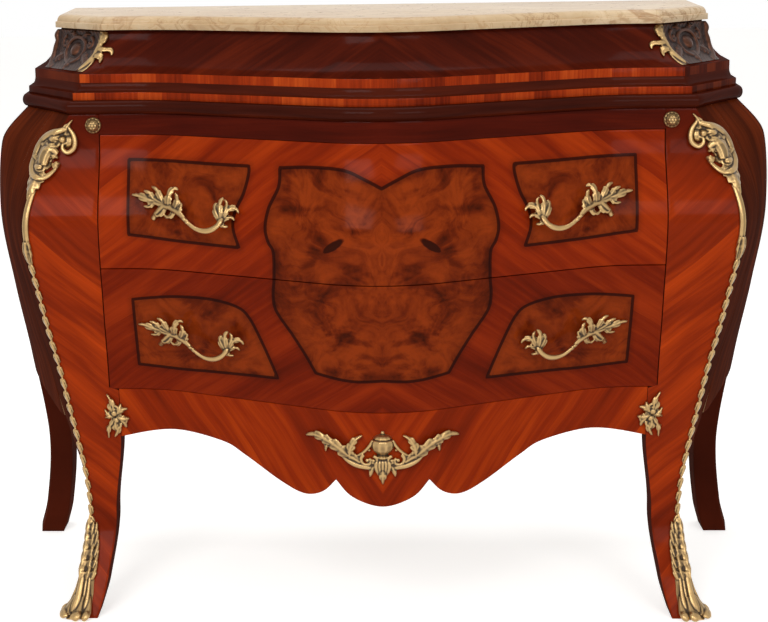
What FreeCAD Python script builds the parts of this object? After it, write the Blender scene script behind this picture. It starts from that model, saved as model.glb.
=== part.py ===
"""Bombe chest of two drawers: serpentine front, swelling sides, marble top and cast brass mounts.

Millimetres. +X runs to the right of someone who faces the front, -Y is the front, +Z is up, and the
origin is on the floor under the middle of the case. Every curved piece is cut from one case form:
the front is a bowed plan line carried up a swelling vertical profile, and each side is a plan curve
from the front corner to the rear corner, both of which swell with height.
"""
import FreeCAD, Part
import math
import os
from FreeCAD import Placement, Rotation, Vector

document = FreeCAD.newDocument("bombe_chest")
sheet = document.addObject("Spreadsheet::Sheet", "Sizes")

# Driving sizes, in millimetres unless a name ends in _share.
DRIVING_SIZES = {
    # overall
    "case_depth": 573.0,
    "opening_half_width": 404.0,
    # heights, from the floor up
    "leg_height": 337.0,
    "lower_front_height": 190.0,
    "upper_front_height": 189.0,
    "rail_height": 29.5,
    "torus_height": 19.0,
    "low_fillet_height": 11.0,
    "cove_height": 13.0,
    "high_fillet_height": 12.5,
    "frieze_height": 59.0,
    "marble_thickness": 20.0,
    # the bowed front line
    "bow_depth": 141.0,
    "bow_radius": 180.0,
    "bow_end_inset": 37.0,
    # heights at which the case form is set out
    "toe_level": 42.0,
    "ankle_level": 140.0,
    "belly_above_split": 61.0,
    # how far the front lies behind the belly at each of those heights
    "setback_floor": -10.0,
    "setback_toe": 12.0,
    "setback_ankle": 62.0,
    "setback_knee": 52.0,
    "setback_waist": 23.0,
    "setback_shoulder": 42.0,
    "setback_top": 48.0,
    # width of the front stile, from the drawer opening out to the corner
    "stile_floor": 62.0,
    "stile_toe": 49.0,
    "stile_ankle": 36.0,
    "stile_knee": 65.0,
    "stile_waist": 87.0,
    "stile_belly": 103.0,
    "stile_shoulder": 73.0,
    "stile_top": 42.0,
    # reach of the rear corner beyond the drawer opening
    "reach_floor": 184.0,
    "reach_toe": 173.0,
    "reach_ankle": 164.0,
    "reach_knee": 190.0,
    "reach_waist": 210.0,
    "reach_belly": 224.0,
    "reach_shoulder": 201.0,
    "reach_top": 144.0,
    # the side's plan curve: where it turns, as shares of its depth and width
    "side_turn_depth_share": 0.36,
    "side_turn_width_top_share": 0.846,
    "side_turn_width_belly_share": 0.62,
    # posts and legs
    "post_depth": 97.5,
    "leg_overhang": 14.0,
    "ankle_depth": 44.0,
    "foot_depth": 52.0,
    "foot_width": 41.0,
    "ankle_width": 38.5,
    "rear_post_depth": 50.0,
    "rear_post_width": 46.0,
    # boards
    "panel_thickness": 18.0,
    "panel_play": 0.4,
    "leg_relief": 1.8,
    "rail_thickness": 24.0,
    "apron_thickness": 24.0,
    "apron_end_height": 75.0,
    "apron_arch_height": 61.0,
    "apron_lobe_drop": 131.0,
    "apron_drop": 140.0,
    "side_apron_height": 52.0,
    "side_arch_share": 0.55,
    "side_arch_margin": 16.0,
    "back_thickness": 12.0,
    "back_rebate": 6.0,
    "back_play": 0.8,
    "mid_board_thickness": 18.0,
    "bottom_board_thickness": 12.0,
    "bottom_board_drop": 7.0,
    "top_board_thickness": 15.0,
    # the top's outline and the cornice's steps
    "top_setback": 113.0,
    "top_corner_outset": 1.0,
    "top_cant_width": 84.0,
    "top_cant_depth": 99.0,
    "top_side_splay": 15.0,
    "side_moulding_share": 0.67,
    "marble_overhang": 12.0,
    "marble_edge_height": 9.5,
    "marble_edge_step": 4.0,
    "marble_edge_round": 9.0,
    "frieze_flare": 58.0,
    "frieze_hollow": 12.0,
    "frieze_thickness": 20.0,
    "cove_depth": 14.0,
    "torus_inset": 4.5,
    "moulding_depth": 34.0,
    # drawers
    "front_gap": 1.0,
    "side_gap": 1.0,
    "front_wall": 18.0,
    "drawer_side_thickness": 13.0,
    "drawer_side_play": 2.0,
    "drawer_back_thickness": 12.0,
    "drawer_back_clearance": 14.0,
    "drawer_bottom_thickness": 6.0,
    "drawer_bottom_rise": 8.0,
    "drawer_top_clearance": 13.0,
    "slide_clearance": 0.3,
    "runner_height": 9.0,
    "runner_width": 22.0,
    "guide_height": 26.0,
    "seat_clearance": 0.3,
    # brass
    "handle_upper_level": 103.0,
    "handle_lower_level": 107.0,
    "handle_tip_inset": 49.0,
    "handle_length": 138.0,
    "handle_sag": 47.0,
    "handle_standoff": 25.0,
    "handle_tube_radius": 3.0,
    "handle_foot_radius": 4.0,
    "leaf_thickness": 3.0,
    "screw_radius": 2.0,
    "screw_hole_radius": 2.4,
    "screw_head_radius": 5.0,
    "screw_head_height": 2.5,
    "rosette_radius": 12.5,
    "rosette_thickness": 4.0,
    "rosette_outset": 8.0,
    "mount_thickness": 7.0,
    "frieze_mount_thickness": 5.0,
    "apron_mount_width": 219.0,
    "apron_mount_height": 80.0,
    "apron_mount_drop": 26.0,
    "urn_radius": 16.0,
    "urn_height": 42.0,
    "urn_proud": 13.0,
    "corner_mount_width": 38.0,
    "corner_mount_height": 70.0,
    "corner_mount_drop": 7.0,
    "band_radius": 5.0,
    "husk_length": 20.0,
    "shoulder_mount_drop": 8.0,
    "shoulder_mount_height": 106.0,
    "shoulder_mount_width": 34.0,
    "sabot_height": 138.0,
    "sabot_width": 24.0,
    "toe_radius": 8.0,
}
for row, (alias, value) in enumerate(DRIVING_SIZES.items(), start=1):
    sheet.set(f"A{row}", alias.replace("_", " "))
    sheet.set(f"B{row}", str(value))
    sheet.setAlias(f"B{row}", alias)
document.recompute()

nodes = []


def size(name):
    """Read a driving size from the sheet."""
    return float(sheet.get(name))


# Heights that several pieces share.
KNEE = size("leg_height")
SPLIT = KNEE + size("lower_front_height")
OPENING_TOP = SPLIT + size("upper_front_height")
CASE_TOP = OPENING_TOP + size("rail_height")
TORUS_TOP = CASE_TOP + size("torus_height")
COVE_BOTTOM = TORUS_TOP + size("low_fillet_height")
COVE_TOP = COVE_BOTTOM + size("cove_height")
FRIEZE_BOTTOM = COVE_TOP + size("high_fillet_height")
FRIEZE_TOP = FRIEZE_BOTTOM + size("frieze_height")
TOE = size("toe_level")
ANKLE = size("ankle_level")
BELLY = SPLIT + size("belly_above_split")
WAIST = (KNEE + BELLY) / 2
SHOULDER = BELLY + 0.65 * (CASE_TOP - BELLY)

# Depths that several pieces share.
BACK = size("case_depth") / 2
BELLY_FRONT = -BACK
STILE_FRONT = BELLY_FRONT + size("bow_depth")
OPENING = size("opening_half_width")
BOW_END = OPENING - size("bow_end_inset")
POST_BACK = STILE_FRONT + size("post_depth")
REAR_POST_FRONT = BACK - size("rear_post_depth")
BACK_PANEL_FRONT = BACK - size("back_rebate") - size("back_thickness")

STATIONS = [0.0, TOE, ANKLE, KNEE, WAIST, BELLY, SHOULDER, CASE_TOP]
SETBACKS = [size("setback_" + name) for name in ("floor", "toe", "ankle", "knee", "waist")]
SETBACKS += [0.0, size("setback_shoulder"), size("setback_top")]
STATION_NAMES = ("floor", "toe", "ankle", "knee", "waist", "belly", "shoulder", "top")
STILES = [size("stile_" + name) for name in STATION_NAMES]
REACHES = [size("reach_" + name) for name in STATION_NAMES]


# ---------------------------------------------------------------- the case form

def along(values, level):
    """Smooth curve through one value per station, upright where it is fullest or narrowest."""
    last = len(STATIONS) - 1
    level = min(max(level, STATIONS[0]), STATIONS[last])
    slopes = []
    for i in range(last + 1):
        low, high = max(i - 1, 0), min(i + 1, last)
        turns = low < i < high and (values[i] - values[low]) * (values[high] - values[i]) <= 0
        rise = (values[high] - values[low]) / (STATIONS[high] - STATIONS[low])
        slopes.append(0.0 if turns else rise)
    i = max(k for k in range(last) if STATIONS[k] <= level)
    span = STATIONS[i + 1] - STATIONS[i]
    u = (level - STATIONS[i]) / span
    start = (1 + 2 * u) * (1 - u) ** 2 * values[i] + u * (1 - u) ** 2 * span * slopes[i]
    end = u * u * (3 - 2 * u) * values[i + 1] + u * u * (u - 1) * span * slopes[i + 1]
    return start + end


def bow_slope():
    """Angle of the straight stretch that joins the bow's two arcs."""
    angle = 0.4
    for _ in range(40):
        run = BOW_END - 2 * size("bow_radius") * math.tan(angle / 2)
        angle = math.atan2(size("bow_depth"), run)
    return angle


BOW_ANGLE = bow_slope()


def bow(x):
    """How far the front line lies behind its middle, at a distance x from the middle."""
    x, radius, depth = abs(x), size("bow_radius"), size("bow_depth")
    reach = radius * math.sin(BOW_ANGLE)
    if x >= BOW_END:
        return depth
    if x <= reach:
        return radius - math.sqrt(radius ** 2 - x ** 2)
    if x >= BOW_END - reach:
        return depth - radius + math.sqrt(radius ** 2 - (BOW_END - x) ** 2)
    return radius * (1 - math.cos(BOW_ANGLE)) + (x - reach) * math.tan(BOW_ANGLE)


def front_y(x, level):
    """The front surface of the case."""
    return BELLY_FRONT + bow(x) + along(SETBACKS, level)


def corner(level):
    """The front corner's line, from the foot up to the case top."""
    return Vector(OPENING + along(STILES, level), STILE_FRONT + along(SETBACKS, level), level)


def side_share(turn_x, softness, depth_share):
    """Share of the side's width that is reached at a share of its depth."""
    turn_y = size("side_turn_depth_share")

    def soft_corner(t):
        steep = t * turn_x / turn_y
        flat = turn_x + (1 - turn_x) * (t - turn_y) / (1 - turn_y)
        return (steep + flat - math.hypot(steep - flat, softness)) / 2

    ends = (1 - depth_share) * soft_corner(0) + depth_share * (soft_corner(1) - 1)
    return soft_corner(depth_share) - ends


def side_x(y, level):
    """The side surface of the case: nearly a canted corner at the top, a full curve at the belly."""
    front = corner(level)
    top = min(max((level - BELLY) / (CASE_TOP - BELLY), 0), 1)
    top = top * top * (3 - 2 * top)
    wide, low = size("side_turn_width_top_share"), size("side_turn_width_belly_share")
    turn_x = low + (wide - low) * top
    softness = 0.25 - 0.21 * top
    depth_share = (y - front.y) / (BACK - front.y)
    reach = OPENING + along(REACHES, level) - front.x
    return front.x + reach * side_share(turn_x, softness, depth_share)


def levels_between(low, high, spacing):
    """Even heights from low to high."""
    count = max(2, round((high - low) / spacing))
    return [low + (high - low) * i / count for i in range(count + 1)]


# ---------------------------------------------------------------- document helpers

def keep(item, label):
    """Name a finished sub-part and list it for export."""
    item.Label = label
    nodes.append(item)
    return item


def shape_node(label, shape):
    """A sub-part whose shape is computed from the case form."""
    item = document.addObject("Part::Feature", label)
    item.Shape = shape
    item.Placement = Placement()
    return keep(item, label)


def both_sides(label, shape):
    """A sub-part for the right side and its mirror image for the left."""
    shape_node(label + "_right", shape)
    shape_node(label + "_left", shape.mirror(Vector(0, 0, 0), Vector(1, 0, 0)))


def box(label, length, width, height, x, y, z):
    """A board whose sizes and place are expressions on the sheet."""
    item = document.addObject("Part::Box", label)
    bindings = {"Length": length, "Width": width, "Height": height}
    bindings.update({"Placement.Base.x": x, "Placement.Base.y": y, "Placement.Base.z": z})
    for prop, expression in bindings.items():
        item.setExpression(prop, expression)
    return item


def sketch_on(body, name, role):
    """A sketch on one of the body's own origin planes."""
    plane = [item for item in body.Origin.OriginFeatures if item.Role == role][0]
    sketch = body.newObject("Sketcher::SketchObject", name)
    sketch.AttachmentSupport = (plane, [""])
    sketch.MapMode = "FlatFace"
    return sketch


def spline(points):
    """A smooth curve through points."""
    curve = Part.BSplineCurve()
    curve.interpolate(points)
    return curve


def line(start, end):
    """A straight stretch."""
    return Part.LineSegment(start, end)


def bow_edges(half_length, offset):
    """The bowed front line, drawn from left to right; offset moves it along Y."""
    radius = size("bow_radius")
    level_y = BELLY_FRONT + size("bow_depth") + offset
    middle_y = BELLY_FRONT + radius + offset
    step_x, step_y = radius * math.sin(BOW_ANGLE), radius * (1 - math.cos(BOW_ANGLE))

    def arc(centre_x, centre_y, start, end):
        turns = (start, (start + end) / 2, end)
        return Part.Arc(*[Vector(centre_x + radius * math.cos(a), centre_y + radius * math.sin(a), 0)
                          for a in turns])

    up, down = math.pi / 2, -math.pi / 2
    edges = []
    if half_length > BOW_END:
        edges.append(line(Vector(-half_length, level_y, 0), Vector(-BOW_END, level_y, 0)))
    edges.append(arc(-BOW_END, level_y - radius, up, up - BOW_ANGLE))
    edges.append(line(Vector(step_x - BOW_END, level_y - step_y, 0),
                      Vector(-step_x, middle_y - radius + step_y, 0)))
    edges.append(arc(0, middle_y, down - BOW_ANGLE, down + BOW_ANGLE))
    edges.append(line(Vector(step_x, middle_y - radius + step_y, 0),
                      Vector(BOW_END - step_x, level_y - step_y, 0)))
    edges.append(arc(BOW_END, level_y - radius, up + BOW_ANGLE, up))
    if half_length > BOW_END:
        edges.append(line(Vector(BOW_END, level_y, 0), Vector(half_length, level_y, 0)))
    return edges


def front_sweep(label, profile_edges, half_length, length_expression):
    """A piece of the front: an upright profile carried along the bowed line without turning."""
    body = document.addObject("PartDesign::Body", label)
    path = sketch_on(body, label + "_path", "XY_Plane")
    path.addGeometry(bow_edges(half_length, 0), False)
    profile = sketch_on(body, label + "_profile", "YZ_Plane")
    profile.setExpression("AttachmentOffset.Base.z", "-(" + length_expression + ")")
    profile.addGeometry(profile_edges, False)
    document.recompute()
    sweep = body.newObject("PartDesign::AdditivePipe", label + "_sweep")
    sweep.Profile = profile
    edge_count = len(path.Geometry)
    sweep.Spine = (path, [f"Edge{i + 1}" for i in range(edge_count)])
    sweep.Mode = "Fixed"
    document.recompute()
    return body


def outline_pad(label, edges, thickness_expression, level):
    """A board of any outline: a sketch in plan, padded upwards from a height."""
    body = document.addObject("PartDesign::Body", label)
    outline = sketch_on(body, label + "_outline", "XY_Plane")
    outline.AttachmentOffset = Placement(Vector(0, 0, level), Rotation())
    outline.addGeometry(edges, False)
    document.recompute()
    pad = body.newObject("PartDesign::Pad", label + "_pad")
    pad.Profile = outline
    pad.setExpression("Length", thickness_expression)
    document.recompute()
    return body


def closed_lines(points):
    """Straight edges round a list of points."""
    return [line(a, b) for a, b in zip(points, points[1:] + points[:1])]


def wire_through(points):
    """A closed wire of straight edges."""
    return Part.makePolygon(points + points[:1])


def case_profile(low, high, back_setback):
    """Upright section of a front piece: the case profile in front, a plumb line behind."""
    front = [Vector(STILE_FRONT + along(SETBACKS, z), z, 0) for z in levels_between(low, high, 40)]
    back = STILE_FRONT + back_setback
    top_back, low_back = Vector(back, high, 0), Vector(back, low, 0)
    return [spline(front), line(front[-1], top_back), line(top_back, low_back), line(low_back, front[0])]


# ---------------------------------------------------------------- posts, legs and panels

def post_levels():
    """Heights at which a post's outline is set out: from the floor to the knee and on to the top."""
    return levels_between(0, KNEE, 30) + levels_between(KNEE, CASE_TOP, 24)[1:]


def upright_solid(rows):
    """Solid with straight level sections: a row of corner points per level, from the bottom up."""
    edges = []
    for points in zip(*rows):
        curve = Part.BSplineCurve()
        curve.interpolate(Points=list(points), Parameters=[point.z for point in points])
        edges.append(curve.toShape())
    faces = [Part.makeRuledSurface(edges[i - 1], edges[i]) for i in range(len(edges))]
    faces += [Part.Face(wire_through(row)) for row in (rows[0], rows[-1])]
    shell = Part.makeShell(faces)
    shell.sewShape()
    return Part.makeSolid(shell)


def front_post():
    """Front corner post and cabriole leg in one length of wood, rebated beside the drawers."""
    splay = [0.0, 0.1, 0.3] + [1.0] * 5
    depths = [size("foot_depth"), size("foot_depth"), size("ankle_depth")]
    backs = [STILE_FRONT + SETBACKS[i] + depths[i] for i in range(3)] + [POST_BACK] * 5
    foot_inner = OPENING + size("stile_floor") - size("foot_width")
    ankle_inner = OPENING + size("stile_ankle") - size("ankle_width")
    inners = [foot_inner, (foot_inner + ankle_inner) / 2] + [ankle_inner] * 6
    apron_end = KNEE - size("apron_end_height")
    rows = []
    for level in post_levels():
        edge = corner(level)
        back = along(backs, level)
        outer = edge.x + along(splay, level) * (side_x(back, level) - edge.x)
        rise = min(max((level - ANKLE) / (apron_end - ANKLE), 0), 1)
        rise = rise * rise * (3 - 2 * rise)
        inside = along(inners, level) * (1 - rise) + (OPENING - size("leg_overhang")) * rise
        rows.append([Vector(inside, edge.y, level), edge, Vector(outer, back, level),
                     Vector(inside, back, level)])
    post = upright_solid(rows)
    rebate = Part.makeBox(2 * size("leg_overhang"), 2 * BACK, CASE_TOP,
                          Vector(OPENING - 2 * size("leg_overhang"), -BACK, KNEE))
    return post.cut(rebate)


def rear_post():
    """Rear corner post and leg, flat behind and swept outside."""
    rows = []
    for level in post_levels():
        rear = OPENING + along(REACHES, level)
        inner = rear - size("rear_post_width")
        rows.append([Vector(inner, REAR_POST_FRONT, level),
                     Vector(side_x(REAR_POST_FRONT, level), REAR_POST_FRONT, level),
                     Vector(rear, BACK, level), Vector(inner, BACK, level)])
    return upright_solid(rows)


def side_panel():
    """Swelling side panel between the posts, with an arched lower edge."""
    foot = KNEE - size("side_apron_height")
    play = size("panel_play")
    depths = [POST_BACK + play + (REAR_POST_FRONT - POST_BACK - 2 * play) * i / 12 for i in range(13)]
    levels = levels_between(foot, CASE_TOP, 24)
    rows = [[Vector(side_x(y, level), y, level) for y in depths] for level in levels]
    for row in (rows[-2], rows[-3]):
        rows.append([2 * edge - point for edge, point in zip(rows[len(levels) - 1], row)])
        rows[-1] = [Vector(point.x, y, point.z) for point, y in zip(rows[-1], depths)]
    outside = Part.BSplineSurface()
    outside.interpolate(rows)
    panel = outside.toShape().extrude(Vector(-size("panel_thickness"), 0, 0))
    margin = size("side_arch_margin")
    crown = foot + size("side_arch_share") * size("side_apron_height")
    arch = Part.Arc(Vector(0, POST_BACK + margin, foot - 1),
                    Vector(0, (POST_BACK + REAR_POST_FRONT) / 2, crown),
                    Vector(0, REAR_POST_FRONT - margin, foot - 1))
    chord = line(arch.EndPoint, arch.StartPoint)
    face = Part.Face(Part.Wire([arch.toShape(), chord.toShape()]))
    below_knee = Part.makeBox(2 * BACK, size("leg_relief"), KNEE - foot + 2,
                              Vector(OPENING, POST_BACK, foot - 1))
    above = Part.makeBox(2 * BACK, 2 * BACK, levels[3] - levels[0], Vector(OPENING / 2, -BACK, CASE_TOP))
    return panel.cut([face.extrude(Vector(OPENING + size("reach_belly"), 0, 0)), below_knee, above])


both_sides("front_post", front_post())
both_sides("rear_post", rear_post())
both_sides("side_panel", side_panel())


def back_panel():
    """Flat back board between the rear posts."""
    heights = levels_between(KNEE - size("side_apron_height"), CASE_TOP, 24)
    half = [OPENING + along(REACHES, z) - size("rear_post_width") - size("back_play") for z in heights]
    right = [Vector(x, z, 0) for x, z in zip(half, heights)]
    left = [Vector(-x, z, 0) for x, z in zip(half, heights)][::-1]
    edges = [spline(right), line(right[-1], left[0]), spline(left), line(left[-1], right[0])]
    body = document.addObject("PartDesign::Body", "back_panel")
    outline = sketch_on(body, "back_outline", "XZ_Plane")
    outline.setExpression("AttachmentOffset.Base.z",
                          "-(Sizes.case_depth / 2 - Sizes.back_rebate - Sizes.back_thickness)")
    outline.addGeometry(edges, False)
    document.recompute()
    pad = body.newObject("PartDesign::Pad", "back_pad")
    pad.Profile = outline
    pad.setExpression("Length", "Sizes.back_thickness")
    pad.Reversed = True
    return body


keep(back_panel(), "back_panel")


def apron_tool():
    """Everything below the apron's shaped lower edge."""
    inner = OPENING - size("leg_overhang")
    ends = KNEE - size("apron_end_height")
    arch = KNEE - size("apron_arch_height")
    lobe = KNEE - size("apron_lobe_drop")
    middle = KNEE - size("apron_drop")
    cusp = (lobe + ends) / 2
    right = [Vector(inner, 0, ends), Vector(0.79 * inner, 0, arch), Vector(0.6 * inner, 0, arch - 8),
             Vector(0.51 * inner, 0, arch - 25), Vector(0.38 * inner, 0, lobe + 14),
             Vector(0.29 * inner, 0, lobe), Vector(0.22 * inner, 0, lobe + 7),
             Vector(0.17 * inner, 0, cusp)]
    centre = [right[-1], Vector(0.11 * inner, 0, middle + 13), Vector(0, 0, middle),
              Vector(-0.11 * inner, 0, middle + 13), Vector(-0.17 * inner, 0, cusp)]
    left = [Vector(-point.x, 0, point.z) for point in reversed(right)]
    low_right, low_left = Vector(inner, 0, 0), Vector(-inner, 0, 0)
    edges = [spline(right), spline(centre), spline(left), line(left[-1], low_left),
             line(low_left, low_right), line(low_right, right[0])]
    face = Part.Face(Part.Wire([edge.toShape() for edge in edges]))
    face.translate(Vector(0, -BACK - 50, 0))
    return face.extrude(Vector(0, 2 * BACK, 0))


def front_apron():
    """Apron under the drawers, sawn to shape along its lower edge."""
    low = KNEE - size("apron_drop") - 2
    half = OPENING - size("leg_overhang") - size("seat_clearance")
    back = size("setback_knee") + size("apron_thickness")
    blank = front_sweep("apron_blank", case_profile(low, KNEE, back), half,
                        "Sizes.opening_half_width - Sizes.leg_overhang - Sizes.seat_clearance")
    saw = document.addObject("Part::Feature", "apron_saw")
    saw.Shape = apron_tool()
    apron = document.addObject("Part::Cut", "front_apron")
    apron.Base = blank
    apron.Tool = saw
    return apron


keep(front_apron(), "front_apron")
keep(front_sweep("top_rail", case_profile(OPENING_TOP, CASE_TOP,
                                          size("setback_top") + size("rail_thickness")),
                 OPENING, "Sizes.opening_half_width"), "top_rail")


# ---------------------------------------------------------------- boards inside the case

def board_outline(setback, inner, low, high):
    """Plan of a board inside the case: bowed in front, notched round the four posts."""
    play = size("seat_clearance")
    thickness = size("panel_thickness") + play
    sides = []
    for i in range(9):
        y = POST_BACK + play + (REAR_POST_FRONT - POST_BACK - 2 * play) * i / 8
        sides.append(Vector(min(side_x(y, low), side_x(y, high)) - thickness, y, 0))
    rear = min(along(REACHES, low), along(REACHES, high)) + OPENING - size("rear_post_width") - play
    back = BACK_PANEL_FRONT - play
    front = bow_edges(inner, setback)
    start = front[-1].EndPoint
    right = [start, Vector(inner, POST_BACK + play, 0), sides[0]]
    after = [sides[-1], Vector(rear, REAR_POST_FRONT - play, 0), Vector(rear, back, 0)]
    flip = [Vector(-p.x, p.y, 0) for p in after[::-1]]
    left = [Vector(-p.x, p.y, 0) for p in right[::-1]]
    edges = list(front)
    edges += [line(a, b) for a, b in zip(right, right[1:])]
    edges.append(spline(sides))
    path = after + flip
    edges += [line(a, b) for a, b in zip(path, path[1:])]
    edges.append(spline([Vector(-p.x, p.y, 0) for p in sides[::-1]]))
    edges += [line(a, b) for a, b in zip(left, left[1:])]
    return edges


MID_BOTTOM = SPLIT - size("mid_board_thickness") / 2
MID_TOP = MID_BOTTOM + size("mid_board_thickness")
BOTTOM_TOP = KNEE - size("bottom_board_drop")
BOTTOM_LOW = BOTTOM_TOP - size("bottom_board_thickness")
FRONT_BACK = max(size("setback_knee"), size("setback_top")) + size("front_wall")

keep(outline_pad("mid_board",
                 board_outline(FRONT_BACK + 2, OPENING - size("seat_clearance"), MID_BOTTOM, MID_TOP),
                 "Sizes.mid_board_thickness", MID_BOTTOM), "mid_board")
keep(outline_pad("bottom_board",
                 board_outline(size("setback_knee") + size("apron_thickness") + size("seat_clearance"),
                               OPENING - size("leg_overhang") - size("seat_clearance"),
                               BOTTOM_LOW, BOTTOM_TOP),
                 "Sizes.bottom_board_thickness", BOTTOM_LOW), "bottom_board")


# ---------------------------------------------------------------- top and cornice

TOP_FRONT = STILE_FRONT + size("top_setback")
FRIEZE_HEAD = -size("marble_overhang")
FRIEZE_FOOT = FRIEZE_HEAD + size("frieze_flare")
FILLET_FACE = FRIEZE_FOOT + size("cove_depth")
TORUS_FACE = FILLET_FACE + size("torus_inset")
TORUS_RADIUS = size("torus_height") / 2


def top_corner(outset):
    """Front corner of the top's outline, moved out by an offset."""
    return Vector(OPENING + size("top_corner_outset") + 0.6 * outset, TOP_FRONT - outset, 0)


def side_corner(outset):
    """Corner where the canted corner meets the side."""
    x = OPENING + size("top_corner_outset") + size("top_cant_width") + size("side_moulding_share") * outset
    return Vector(x, TOP_FRONT + size("top_cant_depth") - 0.397 * outset, 0)


def rear_corner(outset):
    """Rear corner of the top's outline."""
    x = side_corner(outset).x + size("top_side_splay")
    return Vector(x, BACK, 0)


def top_outline(outset):
    """The top's whole outline: bowed front, canted corners, splayed sides, straight back."""
    front = bow_edges(top_corner(outset).x, size("top_setback") - outset)
    right = [top_corner(outset), side_corner(outset), rear_corner(outset)]
    left = [Vector(-p.x, p.y, 0) for p in right[::-1]]
    path = right + left
    return front + [line(a, b) for a, b in zip(path, path[1:])]


def marble_top():
    """Marble slab: an upright lower edge, a narrow ledge, and a broad rounded upper edge."""
    body = document.addObject("PartDesign::Body", "marble_top")
    steps = (("edge", 0.0, FRIEZE_TOP, "Sizes.marble_edge_height"),
             ("face", -size("marble_edge_step"), FRIEZE_TOP + size("marble_edge_height"),
              "Sizes.marble_thickness - Sizes.marble_edge_height"))
    for name, outset, level, height in steps:
        outline = sketch_on(body, "marble_" + name, "XY_Plane")
        outline.AttachmentOffset = Placement(Vector(0, 0, level), Rotation())
        outline.addGeometry(top_outline(outset), False)
        document.recompute()
        pad = body.newObject("PartDesign::Pad", "marble_" + name + "_pad")
        pad.Profile = outline
        pad.setExpression("Length", height)
        document.recompute()
    rim = [f"Edge{i + 1}" for i, edge in enumerate(pad.Shape.Edges)
           if min(vertex.Z for vertex in edge.Vertexes) > FRIEZE_TOP + size("marble_thickness") - 0.01
           and min(vertex.Y for vertex in edge.Vertexes) < BACK - 1]
    rounded = body.newObject("PartDesign::Fillet", "marble_round")
    rounded.Base = (pad, rim)
    rounded.setExpression("Radius", "min(Sizes.marble_edge_round; "
                                    "0.9 * (Sizes.marble_thickness - Sizes.marble_edge_height))")
    document.recompute()
    return body


keep(marble_top(), "marble_top")
keep(outline_pad("top_board",
                 top_outline(FRIEZE_HEAD - size("frieze_thickness") - size("seat_clearance")),
                 "Sizes.top_board_thickness", FRIEZE_TOP - size("top_board_thickness")), "top_board")


def frieze_section():
    """Hollow-faced frieze board: (outset, height) of its corners and the mid points of its arcs."""
    thick = size("frieze_thickness")
    bend = size("frieze_hollow")
    middle = (FRIEZE_HEAD + FRIEZE_FOOT) / 2 - bend / math.sqrt(2)
    height = FRIEZE_BOTTOM + size("frieze_height") / 2 - bend / math.sqrt(2)
    return [("arc", (FRIEZE_HEAD, FRIEZE_TOP), (middle, height), (FRIEZE_FOOT, FRIEZE_BOTTOM)),
            ("line", (FRIEZE_FOOT, FRIEZE_BOTTOM), (FRIEZE_FOOT - thick, FRIEZE_BOTTOM)),
            ("arc", (FRIEZE_FOOT - thick, FRIEZE_BOTTOM), (middle - thick, height),
             (FRIEZE_HEAD - thick, FRIEZE_TOP)),
            ("line", (FRIEZE_HEAD - thick, FRIEZE_TOP), (FRIEZE_HEAD, FRIEZE_TOP))]


def cornice_section():
    """Two square fillets with a cove between them."""
    inner = FRIEZE_FOOT - size("moulding_depth")
    cove_mid = (FRIEZE_FOOT + 0.29 * size("cove_depth"), COVE_TOP - 0.71 * size("cove_height"))
    return [("line", (FRIEZE_FOOT, FRIEZE_BOTTOM), (FRIEZE_FOOT, COVE_TOP)),
            ("arc", (FRIEZE_FOOT, COVE_TOP), cove_mid, (FILLET_FACE, COVE_BOTTOM)),
            ("line", (FILLET_FACE, COVE_BOTTOM), (FILLET_FACE, TORUS_TOP)),
            ("line", (FILLET_FACE, TORUS_TOP), (inner, TORUS_TOP)),
            ("line", (inner, TORUS_TOP), (inner, FRIEZE_BOTTOM)),
            ("line", (inner, FRIEZE_BOTTOM), (FRIEZE_FOOT, FRIEZE_BOTTOM))]


def torus_section():
    """Half-round moulding that lies on the case."""
    inner = TORUS_FACE - size("moulding_depth")
    crown = (TORUS_FACE + TORUS_RADIUS, CASE_TOP + TORUS_RADIUS)
    return [("arc", (TORUS_FACE, TORUS_TOP), crown, (TORUS_FACE, CASE_TOP)),
            ("line", (TORUS_FACE, CASE_TOP), (inner, CASE_TOP)),
            ("line", (inner, CASE_TOP), (inner, TORUS_TOP)),
            ("line", (inner, TORUS_TOP), (TORUS_FACE, TORUS_TOP))]


def arc_points(start, middle, end):
    """Seven (outset, height) points along the arc through three of them."""
    arc = Part.Arc(*[Vector(outset, height, 0) for outset, height in (start, middle, end)])
    span = arc.LastParameter - arc.FirstParameter
    spots = [arc.value(arc.FirstParameter + span * i / 6) for i in range(7)]
    return [(spot.x, spot.y) for spot in spots]


def section_edges(section, place, mitred=False):
    """Turn a moulding section into edges; a mitre stretches its arcs, so there they are splines."""
    edges = []
    for kind, *points in section:
        if kind == "arc" and mitred:
            edges.append(spline([place(*point) for point in arc_points(*points)]))
        elif kind == "arc":
            edges.append(Part.Arc(*[place(*point) for point in points]))
        else:
            edges.append(line(*[place(*point) for point in points]))
    return edges


def front_moulding(label, section, widest):
    """Front length of a moulding, mitred at the canted corners."""
    half = top_corner(widest).x + 5

    def upright(outset, height):
        return Vector(TOP_FRONT - outset, height, 0)

    body = front_sweep(label, section_edges(section, upright), half, str(half))
    mitre = sketch_on(body, label + "_mitre", "XY_Plane")
    reach = 2 * size("moulding_depth") + size("frieze_flare")
    for side in (1, -1):
        inner, outer = top_corner(-reach), top_corner(reach)
        beyond = half + 2 * reach
        points = [inner, outer, Vector(beyond, outer.y, 0), Vector(beyond, inner.y, 0)]
        mitre.addGeometry(closed_lines([Vector(side * p.x, p.y, 0) for p in points]), False)
    document.recompute()
    trim = body.newObject("PartDesign::Pocket", label + "_trim")
    trim.Profile = mitre
    trim.Type = "ThroughAll"
    trim.Reversed = True
    document.recompute()
    return keep(body, label)


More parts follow.
